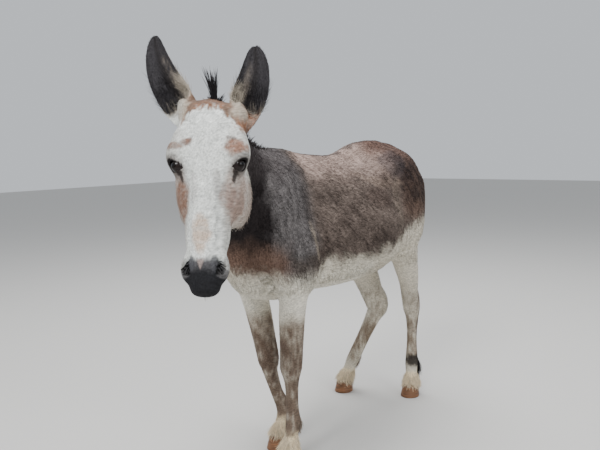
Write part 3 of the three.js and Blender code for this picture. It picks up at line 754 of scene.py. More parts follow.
def ear_mesh(name, ear, ring_count=56, arc_points=22):
    rings = []
    for i in range(ring_count):
        t = i / (ring_count - 1) * 0.985
        centre, axis, front, across = ear_frame(ear, t)
        half = ear_half_width(t)
        depth = half * along(EAR_ROUNDNESS, t)
        angles = np.pi * (np.arange(arc_points) / (arc_points - 1) - 0.5)
        rim = 0.4 + 0.6 * np.sqrt(np.clip(np.cos(angles), 0, 1))
        wall = EAR_WALL * rim
        ridge = 1.1 * np.cos(angles * 7) * ramp(t, 0.1, 0.3) * np.cos(angles)
        outer = np.stack([half * np.sin(angles), -depth * np.cos(angles)], axis=1)
        normal = unit(np.stack([np.sin(angles) * depth, -np.cos(angles) * half], axis=1))
        inner = outer - normal * (wall + ridge)[:, None]
        cup = along([(0, 0), (0.06, 0), (0.2, 1), (1, 1)], t)
        inner[:, 1] = inner[:, 1] * cup + (1 - cup) * 0.6 * depth * np.cos(angles)
        section = np.vstack([outer, inner[::-1]])
        outer_side = np.sign(across @ head_left) * ear["side"]
        skew = EAR_SKEW * ramp(t, 0.45, 0) * outer_side
        rings.append(centre + section[:, :1] * (across - skew * axis) + section[:, 1:] * front)
    rings = np.array(rings)
    around = rings.shape[1]
    points = (rings.reshape(-1, 3) + ORIGIN) / 1000
    faces = []
    for i in range(ring_count - 1):
        for j in range(around):
            a = i * around + j
            b = i * around + (j + 1) % around
            faces.append((a, b, b + around, a + around))
    half_way = arc_points - 1
    last = (ring_count - 1) * around
    for j in range(half_way):
        faces.append((j + 1, j, around - 1 - j, around - 2 - j))
        faces.append((last + j, last + j + 1, last + around - 2 - j, last + around - 1 - j))
    mesh = bpy.data.meshes.new(name)
    mesh.from_pydata(points.tolist(), [], faces)
    piece = bpy.data.objects.new(name, mesh)
    bpy.context.collection.objects.link(piece)
    return piece


for name, ear in EARS.items():
    shell = ear_mesh("ear_shell_" + name, ear)
    union = skin.modifiers.new("ear", "BOOLEAN")
    union.operation = "UNION"
    union.solver = "MANIFOLD"
    union.object = shell
    bpy.context.view_layer.objects.active = skin
    bpy.ops.object.modifier_apply(modifier="ear")
    bpy.data.objects.remove(shell)

# The hide is evened out where it runs from the poll into the ears.
points = mesh_points(skin.data)
where_ears_join = np.zeros(len(points))
for ear in EARS.values():
    for t in (0.12, 0.2, 0.28):
        far = np.linalg.norm(points - on_ear_axis(ear, t), axis=1)
        on_hide = np.abs(skin_field(points)) < 7
        where_ears_join = np.maximum(where_ears_join, ramp(far, 62, 48) * on_hide)
set_mesh_points(skin.data, relaxed(skin.data, points, 5, weight=where_ears_join))


# ---- Markings ----
# The coat is a roan grey-brown over cream: pale face, belly and legs, rust on the poll, dark neck and rump.
# Colours are worked out from the place on the body and stored on the points, alike for hide and hair.
# Some are painted light: sheen on the back, shoulder and muzzle, light on the forearms, and shade on the
# lower barrel, by the head, round the eyes, in the nostrils, and on the temples and sides of face and nose.
CREAM = np.array([0.62, 0.57, 0.47])
WHITE = np.array([0.77, 0.785, 0.745])
RUST = np.array([0.27, 0.138, 0.083])
BARREL_DARK = np.array([0.058, 0.043, 0.036])
BARREL_PALE = np.array([0.22, 0.172, 0.146])
BACK_SHEEN = np.array([0.38, 0.28, 0.24])
NECK_DARK = np.array([0.02, 0.016, 0.016])
SHOULDER_GREY_AND_SHEEN = np.array([0.17, 0.155, 0.152])
CHEST_BROWN = np.array([0.175, 0.108, 0.08])
RUMP_DARK = np.array([0.026, 0.018, 0.017])
RUMP_BROWN = np.array([0.16, 0.105, 0.08])
LEG_BROWN = np.array([0.19, 0.142, 0.106])
KNEE_BROWN = np.array([0.12, 0.084, 0.062])
MUZZLE_DARK = np.array([0.017, 0.017, 0.019])
MUZZLE_PINK = np.array([0.34, 0.27, 0.245])
EAR_DARK = np.array([0.042, 0.039, 0.042])
EAR_CREAM = np.array([0.42, 0.37, 0.3])
LOIN_PALE = (0.23, 0.17, 0.135)
RIB_PALE = (0.25, 0.2, 0.165)
RIB_DARK = (0.075, 0.052, 0.043)
FLANK_PALE = (0.27, 0.215, 0.17)
CROUP_BROWN = (0.13, 0.075, 0.058)
HIP_DARK = (0.05, 0.042, 0.045)
WITHERS_DARK = (0.06, 0.05, 0.05)
ELBOW_DARK = (0.075, 0.056, 0.044)
CROSS_DARK = (0.02, 0.017, 0.018)
ELBOW_FOLD_PALE = (0.36, 0.3, 0.24)
SPINE_DARK = (0.05, 0.037, 0.033)
FOREARM_LIT_CREAM = (0.74, 0.7, 0.6)
SHIN_GREY = (0.22, 0.18, 0.14)
CANNON_BROWN = (0.17, 0.118, 0.078)
HOCK_BROWN = (0.1, 0.068, 0.048)
PASTERN_WHEAT = (0.78, 0.64, 0.42)
FETLOCK_BLACK = (0.02, 0.016, 0.015)
TEMPLE_SHADE = (0.4, 0.38, 0.35)
NOSE_SIDE_SHADE = (0.3, 0.28, 0.25)
JAW_CREAM = (0.5, 0.48, 0.42)
JAW_BROWN = (0.1, 0.065, 0.045)
CHEEK_TAN_AND_SHADE = (0.42, 0.33, 0.28)
POLL_DARK = (0.1, 0.052, 0.035)
FORELOCK_FOOT_BROWN = (0.12, 0.068, 0.045)
EAR_FOOT_BROWN = (0.15, 0.095, 0.065)
MUZZLE_GREY = (0.1, 0.096, 0.1)
EYE_SHADE = (0.13, 0.11, 0.1)
LID_BLACK = (0.008, 0.006, 0.006)
TEAR_DARK = (0.03, 0.023, 0.021)
NOSTRIL_BLACK_AND_SHADE = (0.002, 0.002, 0.002)
EAR_BACK_RUST = (0.22, 0.13, 0.085)
EAR_BACK_BROWN = (0.12, 0.075, 0.055)
EAR_BAND = (0.2, 0.17, 0.145)
EAR_DEEP = (0.02, 0.017, 0.017)

# Patches of the head: middle and reach (across, out, down), colour and strength. Those of the face differ
# from side to side, and those of the muzzle are the same on both.
FACE_PATCHES = [
    ((-57, -8, 124), (17, 30, 12), (0.19, 0.105, 0.075), 0.9),
    ((88, -24, 146), (37, 56, 28), (0.28, 0.16, 0.115), 0.95),
    ((72, -10, 118), (16, 34, 9), (0.12, 0.08, 0.065), 0.8),
    ((-94, -28, 138), (32, 44, 16), (0.21, 0.125, 0.09), 0.85),
    ((-74, -54, 292), (32, 64, 66), (0.23, 0.135, 0.097), 0.95),
    ((82, -74, 305), (26, 54, 56), (0.27, 0.185, 0.15), 0.7),
    ((60, -40, 285), (26, 40, 40), (0.3, 0.215, 0.18), 0.7),
    ((-6, -6, 400), (30, 30, 62), (0.52, 0.38, 0.28), 0.75),
    # The last two, grey bands beside the nose bridge, are painted shade.
    ((34, -6, 255), (12, 30, 50), (0.36, 0.34, 0.32), 0.55),
    ((-30, -6, 270), (10, 30, 60), (0.4, 0.38, 0.36), 0.5),
]
NOSTRIL_PATCHES = [
    # The first is painted sheen on the dark muzzle between the nostrils.
    ((34, -20, 484), (13, 34, 24), (0.066, 0.066, 0.072), 0.85),
    ((70, -42, 484), (15, 40, 34), (0.34, 0.33, 0.31), 0.9),
    ((58, -40, 512), (22, 40, 14), (0.12, 0.115, 0.115), 0.8),
]
LOOSE_VALUES = np.random.default_rng(7).random(4096)


def noise(points, size, seed=0):
    """Soft random values from 0 to 1, that change over about the given size."""
    q = points / size + seed * 17.3
    cell = np.floor(q).astype(int)
    t = q - cell
    t = t * t * (3 - 2 * t)
    total = np.zeros(len(q))
    for corner in np.ndindex(2, 2, 2):
        at = cell + corner
        value = LOOSE_VALUES[(at[:, 0] * 73 + at[:, 1] * 179 + at[:, 2] * 283) % 4096]
        share = np.where(corner, t, 1 - t).prod(axis=1)
        total += value * share
    return total


def paint(colour, new, share):
    share = np.clip(share, 0, 1)[:, None]
    return colour * (1 - share) + np.asarray(new) * share


def blot(points, centre, reach):
    """1 at the middle of a soft-edged oval patch and 0 outside it."""
    return ramp(np.linalg.norm((points - centre) / reach, axis=1), 1.15, 0.7)


def beside_line(points, places, wide):
    """1 on a line through the places, and 0 further from it than wide."""
    return ramp(-Ridge(places, wide, 1.0).rise(points), -0.25, -0.75)


def ragged(points, size, depth, seed):
    """Places shifted by noise, so that the edge of a marking is ragged."""
    coarse = np.stack([noise(points, size, seed + k) for k in range(3)], axis=1)
    fine = np.stack([noise(points, size / 2.6, seed + 5 + k) for k in range(3)], axis=1)
    return points + depth * (coarse + 0.5 * fine - 0.75)


def mirrored(points):
    """The right side's points folded over on to the left side."""
    folded = points.copy()
    folded[:, 0] = np.abs(points[:, 0])
    return folded


def evenly(colour, points):
    return np.tile(colour, (len(points), 1))


def ear_places(points):
    """Share in an ear, place along it, 1 inside its cup, and place across it, with the poll's side as +."""
    share = np.zeros(len(points))
    place = np.zeros(len(points))
    inside = np.zeros(len(points))
    aside = np.zeros(len(points))
    for ear in EARS.values():
        best = np.full(len(points), 1e9)
        spot = np.zeros(len(points))
        cup = np.zeros(len(points))
        wide = np.zeros(len(points))
        for t in np.linspace(0.08, 1, 24):
            centre, axis, front, across = ear_frame(ear, t)
            away = points - centre
            far = np.linalg.norm(away - (away @ axis)[:, None] * axis * 0.2, axis=1)
            closer = far < best
            depth = ear_half_width(t) * along(EAR_ROUNDNESS, t)
            best[closer] = far[closer]
            spot[closer] = t
            beside = away - (away @ front)[:, None] * front
            wall = np.sqrt(np.clip(1 - (beside**2).sum(axis=1) / (ear_half_width(t) + 1) ** 2, 0, 1))
            cup[closer] = ((away @ front) > -depth * wall + 2.2)[closer]
            inwards = -np.sign(across @ head_left) * ear["side"]
            wide[closer] = (inwards * (away @ across) / ear_half_width(t))[closer]
        on_ear = ramp(best, 78, 62) * ramp(spot, 0.12, 0.2)
        better = on_ear > share
        share[better] = on_ear[better]
        place[better] = spot[better]
        inside[better] = cup[better]
        aside[better] = wide[better]
    return share, place, inside, aside


def head_share(points):
    return ramp((points - head_root) @ head_back, 34, -34)


def body_colour(points):
    p = ragged(points, 46, 34, 1)
    x, y, z = np.abs(p[:, 0]), p[:, 1], p[:, 2]
    across, back = points[:, 0], points[:, 1]
    along_hair = np.stack([across, 0.74 * back - 0.67 * z, 0.67 * back + 0.74 * z], axis=1)
    along_hair = mix(along_hair, points[:, [0, 2, 1]], ramp(back, -270, -380)[:, None])
    streak = noise(along_hair * (1, 0.2, 1), 5, 3)
    mottle = noise(points, 44, 4) * 0.34 + noise(along_hair * (1, 0.3, 1), 15, 5) * 0.36 + streak * 0.3
    # Painted shade: the barrel is painted darker towards its bottom, which turns from the light.
    shaded_low_barrel = ramp(z, 960, 820)
    colour = paint(evenly(BARREL_DARK, p), BARREL_PALE, 1.7 * mottle - 0.4 - 0.3 * shaded_low_barrel)
    # Painted sheen: the top of the back is painted lighter, where the light falls on it.
    sheen_on_back = ramp(z, 1075, 1195) * ramp(y, -330, -240)
    colour = paint(colour, BACK_SHEEN, sheen_on_back * (0.25 + 1.1 * mottle))
    pale_line = beside_line(p, [(160, 0, 1160), (195, 120, 1100), (205, 235, 1075)], 38)
    colour = paint(colour, LOIN_PALE, 0.5 * pale_line * (0.4 + mottle))
    rib_fold = beside_line(p, [(120, -200, 1150), (160, -140, 1115), (178, -80, 1075)], 14)
    colour = paint(colour, RIB_PALE, 0.4 * rib_fold)
    rib_dark = blot(p * (np.sign(points[:, :1]) * (1, 0, 0) + (0, 1, 1)), (215, 95, 1025), (60, 90, 60))
    colour = paint(colour, RIB_DARK, 0.6 * rib_dark)
    flank_edge = beside_line(p, [(196, 250, 1090), (228, 214, 985), (222, 214, 860)], 42)
    colour = paint(colour, FLANK_PALE, 0.4 * flank_edge * (0.2 + 1.2 * mottle))
    rump_line = y - 262 + 0.1 * (z - 1000)
    rump = ramp(rump_line, -34, 56)
    rump_hair = paint(evenly(RUMP_DARK, p), RUMP_BROWN, 1.5 * mottle - 0.5 + 0.6 * ramp(z, 1060, 910))
    colour = paint(colour, rump_hair, rump * ramp(z, 880, 960))
    croup = ramp(z, 1150, 1235) * ramp(y, 130, 230)
    colour = paint(colour, CROUP_BROWN, 0.8 * croup * (0.4 + 1.1 * mottle))
    hip_dark = blot(mirrored(p), (165, 255, 1180), (66, 84, 74))
    colour = paint(colour, HIP_DARK, 0.55 * hip_dark)
    front = ramp(y, -275, -375)
    # Towards the head the neck is darker: partly its own dark hair, partly painted shadow beside the head.
    grey = 1.4 * mottle + 0.1 - 1.35 * ramp(y, -485, -590)
    # The shoulder's grey is partly its own colour and partly painted sheen.
    shoulder = paint(evenly(NECK_DARK, p), SHOULDER_GREY_AND_SHEEN, grey)
    shoulder = paint(shoulder, WITHERS_DARK, 0.65 * ramp(z, 1090, 1190))
    shoulder = paint(shoulder, CHEST_BROWN, 0.85 * ramp(z, 940, 840) * ramp(y, -430, -510))
    shoulder = paint(shoulder, ELBOW_DARK, 0.7 * ramp(z, 860, 800) * ramp(y, -480, -430))
    colour = paint(colour, shoulder, front)
    cross = beside_line(p, [(30, -318, 1240), (118, -345, 1145), (158, -345, 1040), (188, -342, 900)], 19)
    colour = paint(colour, CROSS_DARK, 0.45 * cross)
    fold = [(176, -340, 965), (188, -330, 895), (194, -317, 835), (197, -305, 780)]
    fold_line = beside_line(mirrored(points), fold, 9) * ramp(z, 1000, 930) * ramp(z, 770, 810)
    colour = paint(colour, ELBOW_FOLD_PALE, 0.7 * fold_line * (0.5 + 0.8 * streak))
    spine_line = ramp(x, 22, 8) * ramp(z, 1080, 1120)
    colour = paint(colour, SPINE_DARK, 0.75 * spine_line)
    hem = np.interp(y, [-640, -560, -500, -430, -370, -320, -250, -70, 90, 200, 280, 380, 560],
                    [800, 785, 762, 745, 725, 748, 800, 800, 808, 826, 870, 890, 912])
    below_hem = ramp(z + 26 * (streak - 0.5), hem + 34, hem - 30)
    return paint(colour, CREAM * (0.86 + 0.26 * mottle[:, None]), below_hem)


def leg_colour(points, colour):
    p = ragged(points, 34, 30, 11)
    y, z = p[:, 1], p[:, 2]
    mottle = noise(points * (1, 1, 0.5), 22, 12) * 0.55 + noise(points * (1, 1, 0.3), 7, 13) * 0.45
    fore = ramp(points[:, 1], 60, 0)
    # The forearms are painted paler than the legs' cream: their own cream with painted light on it.
    lit_forearm = fore * ramp(z, 575, 640) * ramp(z, 790, 720)
    colour = paint(colour, FOREARM_LIT_CREAM, 0.85 * lit_forearm)
    brown = fore * ramp(z, 612, 552) * ramp(z, 75, 140)
    colour = paint(colour, LEG_BROWN, brown * (0.15 + 1.35 * mottle + 0.3 * ramp(z, 340, 260)))
    knee = fore * ramp(z, 580, 500) * ramp(z, 110, 180)
    colour = paint(colour, KNEE_BROWN, knee * (1.5 * mottle - 0.4 + 0.4 * ramp(np.abs(z - 430), 90, 20)))
    hind = (1 - fore) * ramp(z, 620, 480) * ramp(z, 170, 240)
    colour = paint(colour, SHIN_GREY, hind * (1.7 * mottle - 0.45))
    cannon = (1 - fore) * ramp(z, 420, 330) * ramp(z, 130, 190)
    colour = paint(colour, CANNON_BROWN, cannon * (1.3 * mottle - 0.1))
    back_of_hock = beside_line(np.abs(p), [(120, 570, 520), (90, 590, 430), (100, 560, 330)], 34)
    colour = paint(colour, HOCK_BROWN, 0.75 * (1 - fore) * back_of_hock)
    pastern = ramp(z, 140, 100)
    colour = paint(colour, PASTERN_WHEAT, pastern * (0.6 + 0.6 * mottle))
    dark_place = np.array([*HIND_LEGS[0]["fetlock"], FETLOCK_HEIGHT + 12]) + (8, 8, 0)
    share = blot(ragged(points, 12, 16, 14), dark_place, (48, 56, 40))
    return paint(colour, FETLOCK_BLACK, 0.92 * share)


def head_colour(points):
    h = in_head(ragged(points, 17, 13, 21))
    exact = in_head(points)
    across, out, down = h.T
    aside = np.abs(across)
    mottle = noise(points, 11, 22)
    ripple = noise(exact * (0.32, 1, 1), 7, 24) * 0.6 + noise(exact * (1, 1, 0.3), 5, 25) * 0.4
    colour = WHITE * (0.86 + 0.2 * mottle[:, None]) * (0.72 + 0.5 * ripple[:, None])
    wide, depth = np.abs(exact[:, 0]), exact[:, 2]
    # Painted shade: the temples, the sides of the forehead, are painted grey.
    shaded_temples = ramp(wide, 52, 92) * ramp(depth, 60, 100) * ramp(depth, 240, 200)
    colour = paint(colour, TEMPLE_SHADE, 0.55 * shaded_temples)
    # Painted shade: the side planes of the nose, turned from the light, are painted grey.
    shaded_side_plane = ramp(wide, 38, 62) * ramp(depth, 215, 270) * ramp(depth, 480, 430)
    colour = paint(colour, NOSE_SIDE_SHADE, 0.6 * shaded_side_plane * (0.5 + 0.8 * ripple))
    back_of_head = ramp(out, -88, -150)
    colour = paint(colour, JAW_CREAM, 0.8 * back_of_head)
    jaw_line = [(86, -80, 205), (92, -86, 260), (86, -86, 320), (66, -82, 358)]
    colour = paint(colour, JAW_BROWN, 0.8 * beside_line(mirrored(h), jaw_line, 19))
    # Painted shade on the side planes of the face below the eyes, tinted pinkish tan.
    sides = ramp(aside, 50, 70) * ramp(down, 195, 230) * ramp(down, 400, 330)
    colour = paint(colour, CHEEK_TAN_AND_SHADE, sides * (0.3 + 0.9 * ripple))
    tufted = noise(exact * (1, 1, 0.22), 4.5, 26)
    poll = ramp(4 + 0.0092 * aside**2 - down + 26 * tufted, 0, 16) * ramp(down, 96, 80)
    poll = poll * ramp(exact[:, 0], -90, -76)
    colour = paint(colour, RUST, poll * (0.6 + 0.6 * tufted))
    colour = paint(colour, POLL_DARK, poll * ramp(tufted, 0.5, 0.2) * 0.7)
    ear_foot = ramp(aside, 58, 74) * ramp(out, -96, -72) * ramp(down, 62, 34) * ramp(down, -60, -40)
    colour = paint(colour, EAR_CREAM, ear_foot * 0.85)
    colour = paint(colour, FORELOCK_FOOT_BROWN, poll * ramp(down, 8, -14) * ramp(aside, 70, 50) * 0.75)
    colour = paint(colour, EAR_FOOT_BROWN, poll * ramp(np.abs(aside - 54), 16, 6) * 0.7)
    for centre, reach, hue, share in FACE_PATCHES:
        colour = paint(colour, hue, share * blot(h, centre, reach) * (0.45 + 1.0 * ripple))
    chin_line = 472 + 1.9 * np.maximum(wide - 50, 0) + 0.9 * np.maximum(-exact[:, 1] - 54, 0)
    near_edge = depth + 0.7 * (down - depth)
    muzzle = ramp(near_edge, chin_line - 9, chin_line + 12)
    dark = paint(evenly(MUZZLE_GREY, points), MUZZLE_DARK, ramp(near_edge, chin_line, chin_line + 46))
    colour = paint(colour, dark, muzzle)
    wedge = ramp(np.abs(exact[:, 0] + 5) - 0.4 * (502 - depth), 3, -3) * ramp(depth, 506, 498)
    colour = paint(colour, MUZZLE_PINK, wedge * ramp(depth, 466, 478) * 0.85)
    for centre, reach, hue, share in NOSTRIL_PATCHES:
        colour = paint(colour, hue, share * blot(mirrored(exact), centre, reach))
    for side in (LEFT, RIGHT):
        middle, look, _, _ = eye_frame(side)
        eye_front = middle + look * EYE_RADIUS
        reach = np.linalg.norm(points - middle - look * EYE_RADIUS, axis=1)
        eye_across, _, eye_down = in_head(eye_front)
        inwards, below = side * (eye_across - exact[:, 0]), depth - eye_down
        slanted = np.stack([0.74 * inwards + 0.67 * below, 0.67 * inwards - 0.74 * below], axis=1)
        # Painted shade round each eye, under the brow and upper lid.
        painted_lid_shade = ramp(np.linalg.norm((slanted - (2, -2)) / (54, 36), axis=1), 1.12, 0.5)
        colour = paint(colour, EYE_SHADE, 0.72 * painted_lid_shade * ramp(reach, 66, 46))
        rim = ramp(np.linalg.norm((slanted - (0, -1)) / (28, 15), axis=1), 1.16, 0.86)
        colour = paint(colour, LID_BLACK, 0.98 * rim * ramp(reach, 36, 28))
        front_place = np.stack([inwards, below, 0 * below], axis=1)
        tear = beside_line(front_place, [(13, 11, 0), (20, 22, 0)], 9)
        tear = np.maximum(tear, beside_line(front_place, [(20, 22, 0), (25, 34, 0), (28, 46, 0)], 5.5))
        colour = paint(colour, TEAR_DARK, 0.9 * tear * ramp(reach, 72, 60))
        # Inside each nostril: its dark skin, painted near black as painted shade in the hollow.
        colour = paint(colour, NOSTRIL_BLACK_AND_SHADE, ramp(nostril(side).distance(points), 3.5, 0.5))
    return colour


def ear_colour(points, place, inside, aside):
    mottle = noise(points, 8, 31)
    streak = noise(points * (1, 1, 0.3), 7, 32)
    outer = paint(evenly(EAR_BACK_RUST, points), EAR_BACK_BROWN, ramp(place, 0.35, 0.6))
    outer = paint(outer, EAR_DARK, ramp(place + 0.12 * mottle, 0.72, 0.88))
    band = ramp(np.abs(aside - 0.42), 0.4, 0.1) * ramp(place, 0.88, 0.45)
    inner = paint(evenly(EAR_DARK, points), EAR_BAND, band * (1.9 * streak - 0.35))
    by_poll = ramp(aside, 0.05, 0.65)
    inner = paint(inner, EAR_CREAM, ramp(place + 0.16 * (mottle - 0.5) - 0.24 * by_poll, 0.24, 0.08))
    inner = paint(inner, EAR_DEEP, 0.7 * ramp(np.abs(aside), 0.3, 0.1) * ramp(place, 0.14, 0.24))
    return paint(outer, inner, inside)


def coat_colour(points):
    colour = leg_colour(points, body_colour(points))
    colour = paint(colour, head_colour(points), head_share(points))
    share, place, inside, aside = ear_places(points)
    return paint(colour, ear_colour(points, place, inside, aside), share)


def store_colour(mesh, colours):
    layer = mesh.color_attributes.new("coat_colour", "FLOAT_COLOR", "POINT")
    layer.data.foreach_set("color", np.hstack([colours, np.ones((len(colours), 1))]).ravel())


skin_points = mesh_points(skin.data)
store_colour(skin.data, coat_colour(skin_points))

# The hide's material: the shortest hair lies flat on the skin, and shows as streaks of tone and relief.
HIDE_ROUGHNESS = 0.75
STREAK_SIZE = 230
BUMP_HEIGHT = 0.0012
COAT_SHEEN = 0.12


def new_group(name, inputs, outputs):
    group = bpy.data.node_groups.new(name, "ShaderNodeTree")
    for label, kind in inputs:
        group.interface.new_socket(label, in_out="INPUT", socket_type=kind)
    for label, kind in outputs:
        group.interface.new_socket(label, in_out="OUTPUT", socket_type=kind)
    return group, group.nodes.new("NodeGroupInput"), group.nodes.new("NodeGroupOutput")


# Streaks: noise drawn out along the back's slope, the same way on body, head and legs.
FLOAT = "NodeSocketFloat"
streaks, entry, leaving = new_group("streaks", [("Scale", FLOAT)], [("Value", FLOAT)])
place = streaks.nodes.new("ShaderNodeTexCoord")
drawn_out = streaks.nodes.new("ShaderNodeMapping")
drawn_out.inputs["Rotation"].default_value = (math.radians(22), 0, 0)
drawn_out.inputs["Scale"].default_value = (1, 0.22, 0.8)
grain = streaks.nodes.new("ShaderNodeTexNoise")
grain.inputs["Detail"].default_value = 3
streaks.links.new(place.outputs["Object"], drawn_out.inputs["Vector"])
streaks.links.new(drawn_out.outputs["Vector"], grain.inputs["Vector"])
streaks.links.new(entry.outputs["Scale"], grain.inputs["Scale"])
streaks.links.new(grain.outputs["Fac"], leaving.inputs["Value"])


def coat_material(name, roughness, shade_low, shade_high, bump_height):
    """Hair or hide in the coat's stored colour, lightened and darkened by fine streaks."""
    material = bpy.data.materials.new(name)
    material.use_nodes = True
    nodes, links = material.node_tree.nodes, material.node_tree.links
    surface = nodes["Principled BSDF"]
    surface.inputs["Roughness"].default_value = roughness
    surface.inputs["Specular IOR Level"].default_value = COAT_SHEEN
    stored = nodes.new("ShaderNodeAttribute")
    stored.attribute_name = "coat_colour"
    pattern = nodes.new("ShaderNodeGroup")
    pattern.node_tree = streaks
    pattern.inputs["Scale"].default_value = STREAK_SIZE
    shade = nodes.new("ShaderNodeMapRange")
    shade.inputs["From Min"].default_value = 0.3
    shade.inputs["From Max"].default_value = 0.7
    shade.inputs["To Min"].default_value = shade_low
    shade.inputs["To Max"].default_value = shade_high
    tone = nodes.new("ShaderNodeVectorMath")
    tone.operation = "SCALE"
    links.new(pattern.outputs["Value"], shade.inputs["Value"])
    links.new(stored.outputs["Color"], tone.inputs[0])
    links.new(shade.outputs["Result"], tone.inputs["Scale"])
    links.new(tone.outputs["Vector"], surface.inputs["Base Color"])
    if bump_height:
        bump = nodes.new("ShaderNodeBump")
        bump.inputs["Distance"].default_value = bump_height
        bump.inputs["Strength"].default_value = 0.6
        links.new(pattern.outputs["Value"], bump.inputs["Height"])
        links.new(bump.outputs["Normal"], surface.inputs["Normal"])
    return material


skin.data.materials.clear()
skin.data.materials.append(coat_material("hide", HIDE_ROUGHNESS, 0.62, 1.2, BUMP_HEIGHT))
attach(skin, "root")
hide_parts(*FLESH_NODES)

# ---- Coat ----
# Short hair lies over the hide in small closed blades, one mesh to each region. They lie back along the
# trunk, down the neck, legs and face, and towards the tips of the ears, smallest on the face and feet.
SWIRL_DEGREES = 9
SCATTER_DEGREES = 8
BLADE_FLATNESS = 0.45
ROOT_TONE = 0.82
TONE_RISE = 0.26
TIP_TONE = 1.04
BAKE_PATCH = 0.003
REAR_STARTS = 60
FLANK_TUFTS = 15000
RUMP_TUFTS = 15000
LEG_TUFTS = 6300
EAR_TUFTS = 4500
NECK_TUFTS = 14500
FACE_TUFTS = 16000
BODY_LIFT = 0.17
FACE_LIFT = 0.22
EAR_LIFT = 0.3
THINNED = 1
skin_mesh = skin.data
skin_mesh.calc_loop_triangles()
corners = np.empty(len(skin_mesh.loop_triangles) * 3, np.int32)
skin_mesh.loop_triangles.foreach_get("vertices", corners)
corners = corners.reshape(-1, 3)
corner_points = skin_points[corners]
skin_crosses = np.cross(corner_points[:, 1] - corner_points[:, 0], corner_points[:, 2] - corner_points[:, 0])
skin_areas = np.linalg.norm(skin_crosses, axis=1) / 2
skin_middles = corner_points.mean(axis=1)
vertex_normals = np.empty(len(skin_mesh.vertices) * 3)
skin_mesh.vertices.foreach_get("normal", vertex_normals)
vertex_normals = vertex_normals.reshape(-1, 3)


def lie_of_coat(points):
    """The way the hair points, before it is laid on the skin."""
    x, y, z = points.T
    side = np.sign(x)
    on_side = ramp(z, 1240, 1100) * ramp(z, 760, 830)
    lie = np.stack([0.1 * side, np.ones(len(x)), -0.8 * on_side], axis=1)
    forward = ramp(y, -270, -380)
    lie = lie * (1 - forward[:, None]) + np.array([0, 0.22, -1]) * forward[:, None]
    down_leg = ramp(z, 800, 690)
    lie = lie * (1 - down_leg[:, None]) + np.array([0, 0.12, -1]) * down_leg[:, None]
    thigh = ramp(y, 240, 330) * ramp(z, 1120, 1000)
    lie = lie * (1 - thigh[:, None]) + np.array([0, 0.35, -0.95]) * thigh[:, None]
    h = in_head(points)
    outwards = np.clip(h[:, :1] / 90, -1, 1) * 0.35
    face = face_down + outwards * head_left - 0.3 * ramp(-h[:, 1], 60, 150)[:, None] * face_out
    on_head_share = head_share(points)[:, None]
    lie = lie * (1 - on_head_share) + face * on_head_share
    share = ear_places(points)[0]
    for ear in EARS.values():
        near_ear = share * (np.sign(h[:, 0]) == ear["side"])
        along_ear = unit(ear["tip"] - ear["root"])
        lie = lie * (1 - near_ear[:, None]) + along_ear * near_ear[:, None]
    on_dock = ramp(y, 590, 625) * ramp(z, 830, 850)
    lie = lie * (1 - on_dock[:, None]) + np.array([0, 0.2, -1]) * on_dock[:, None]
    return unit(lie)


def roots_on_skin(wanted, count, seed):
    """Places and normals strewn over the skin, in proportion to area times wanted."""
    rng = np.random.default_rng(seed)
    weights = np.cumsum(skin_areas * wanted)
    picked = np.searchsorted(weights, rng.random(count) * weights[-1])
    a, b = rng.random((2, count, 1))
    fold = a + b > 1
    a, b = np.where(fold, 1 - a, a), np.where(fold, 1 - b, b)
    shares = np.concatenate([1 - a - b, a, b], axis=1)[:, :, None]
    places = (corner_points[picked] * shares).sum(axis=1)
    normals = unit((vertex_normals[corners[picked]] * shares).sum(axis=1))
    return places, normals, rng


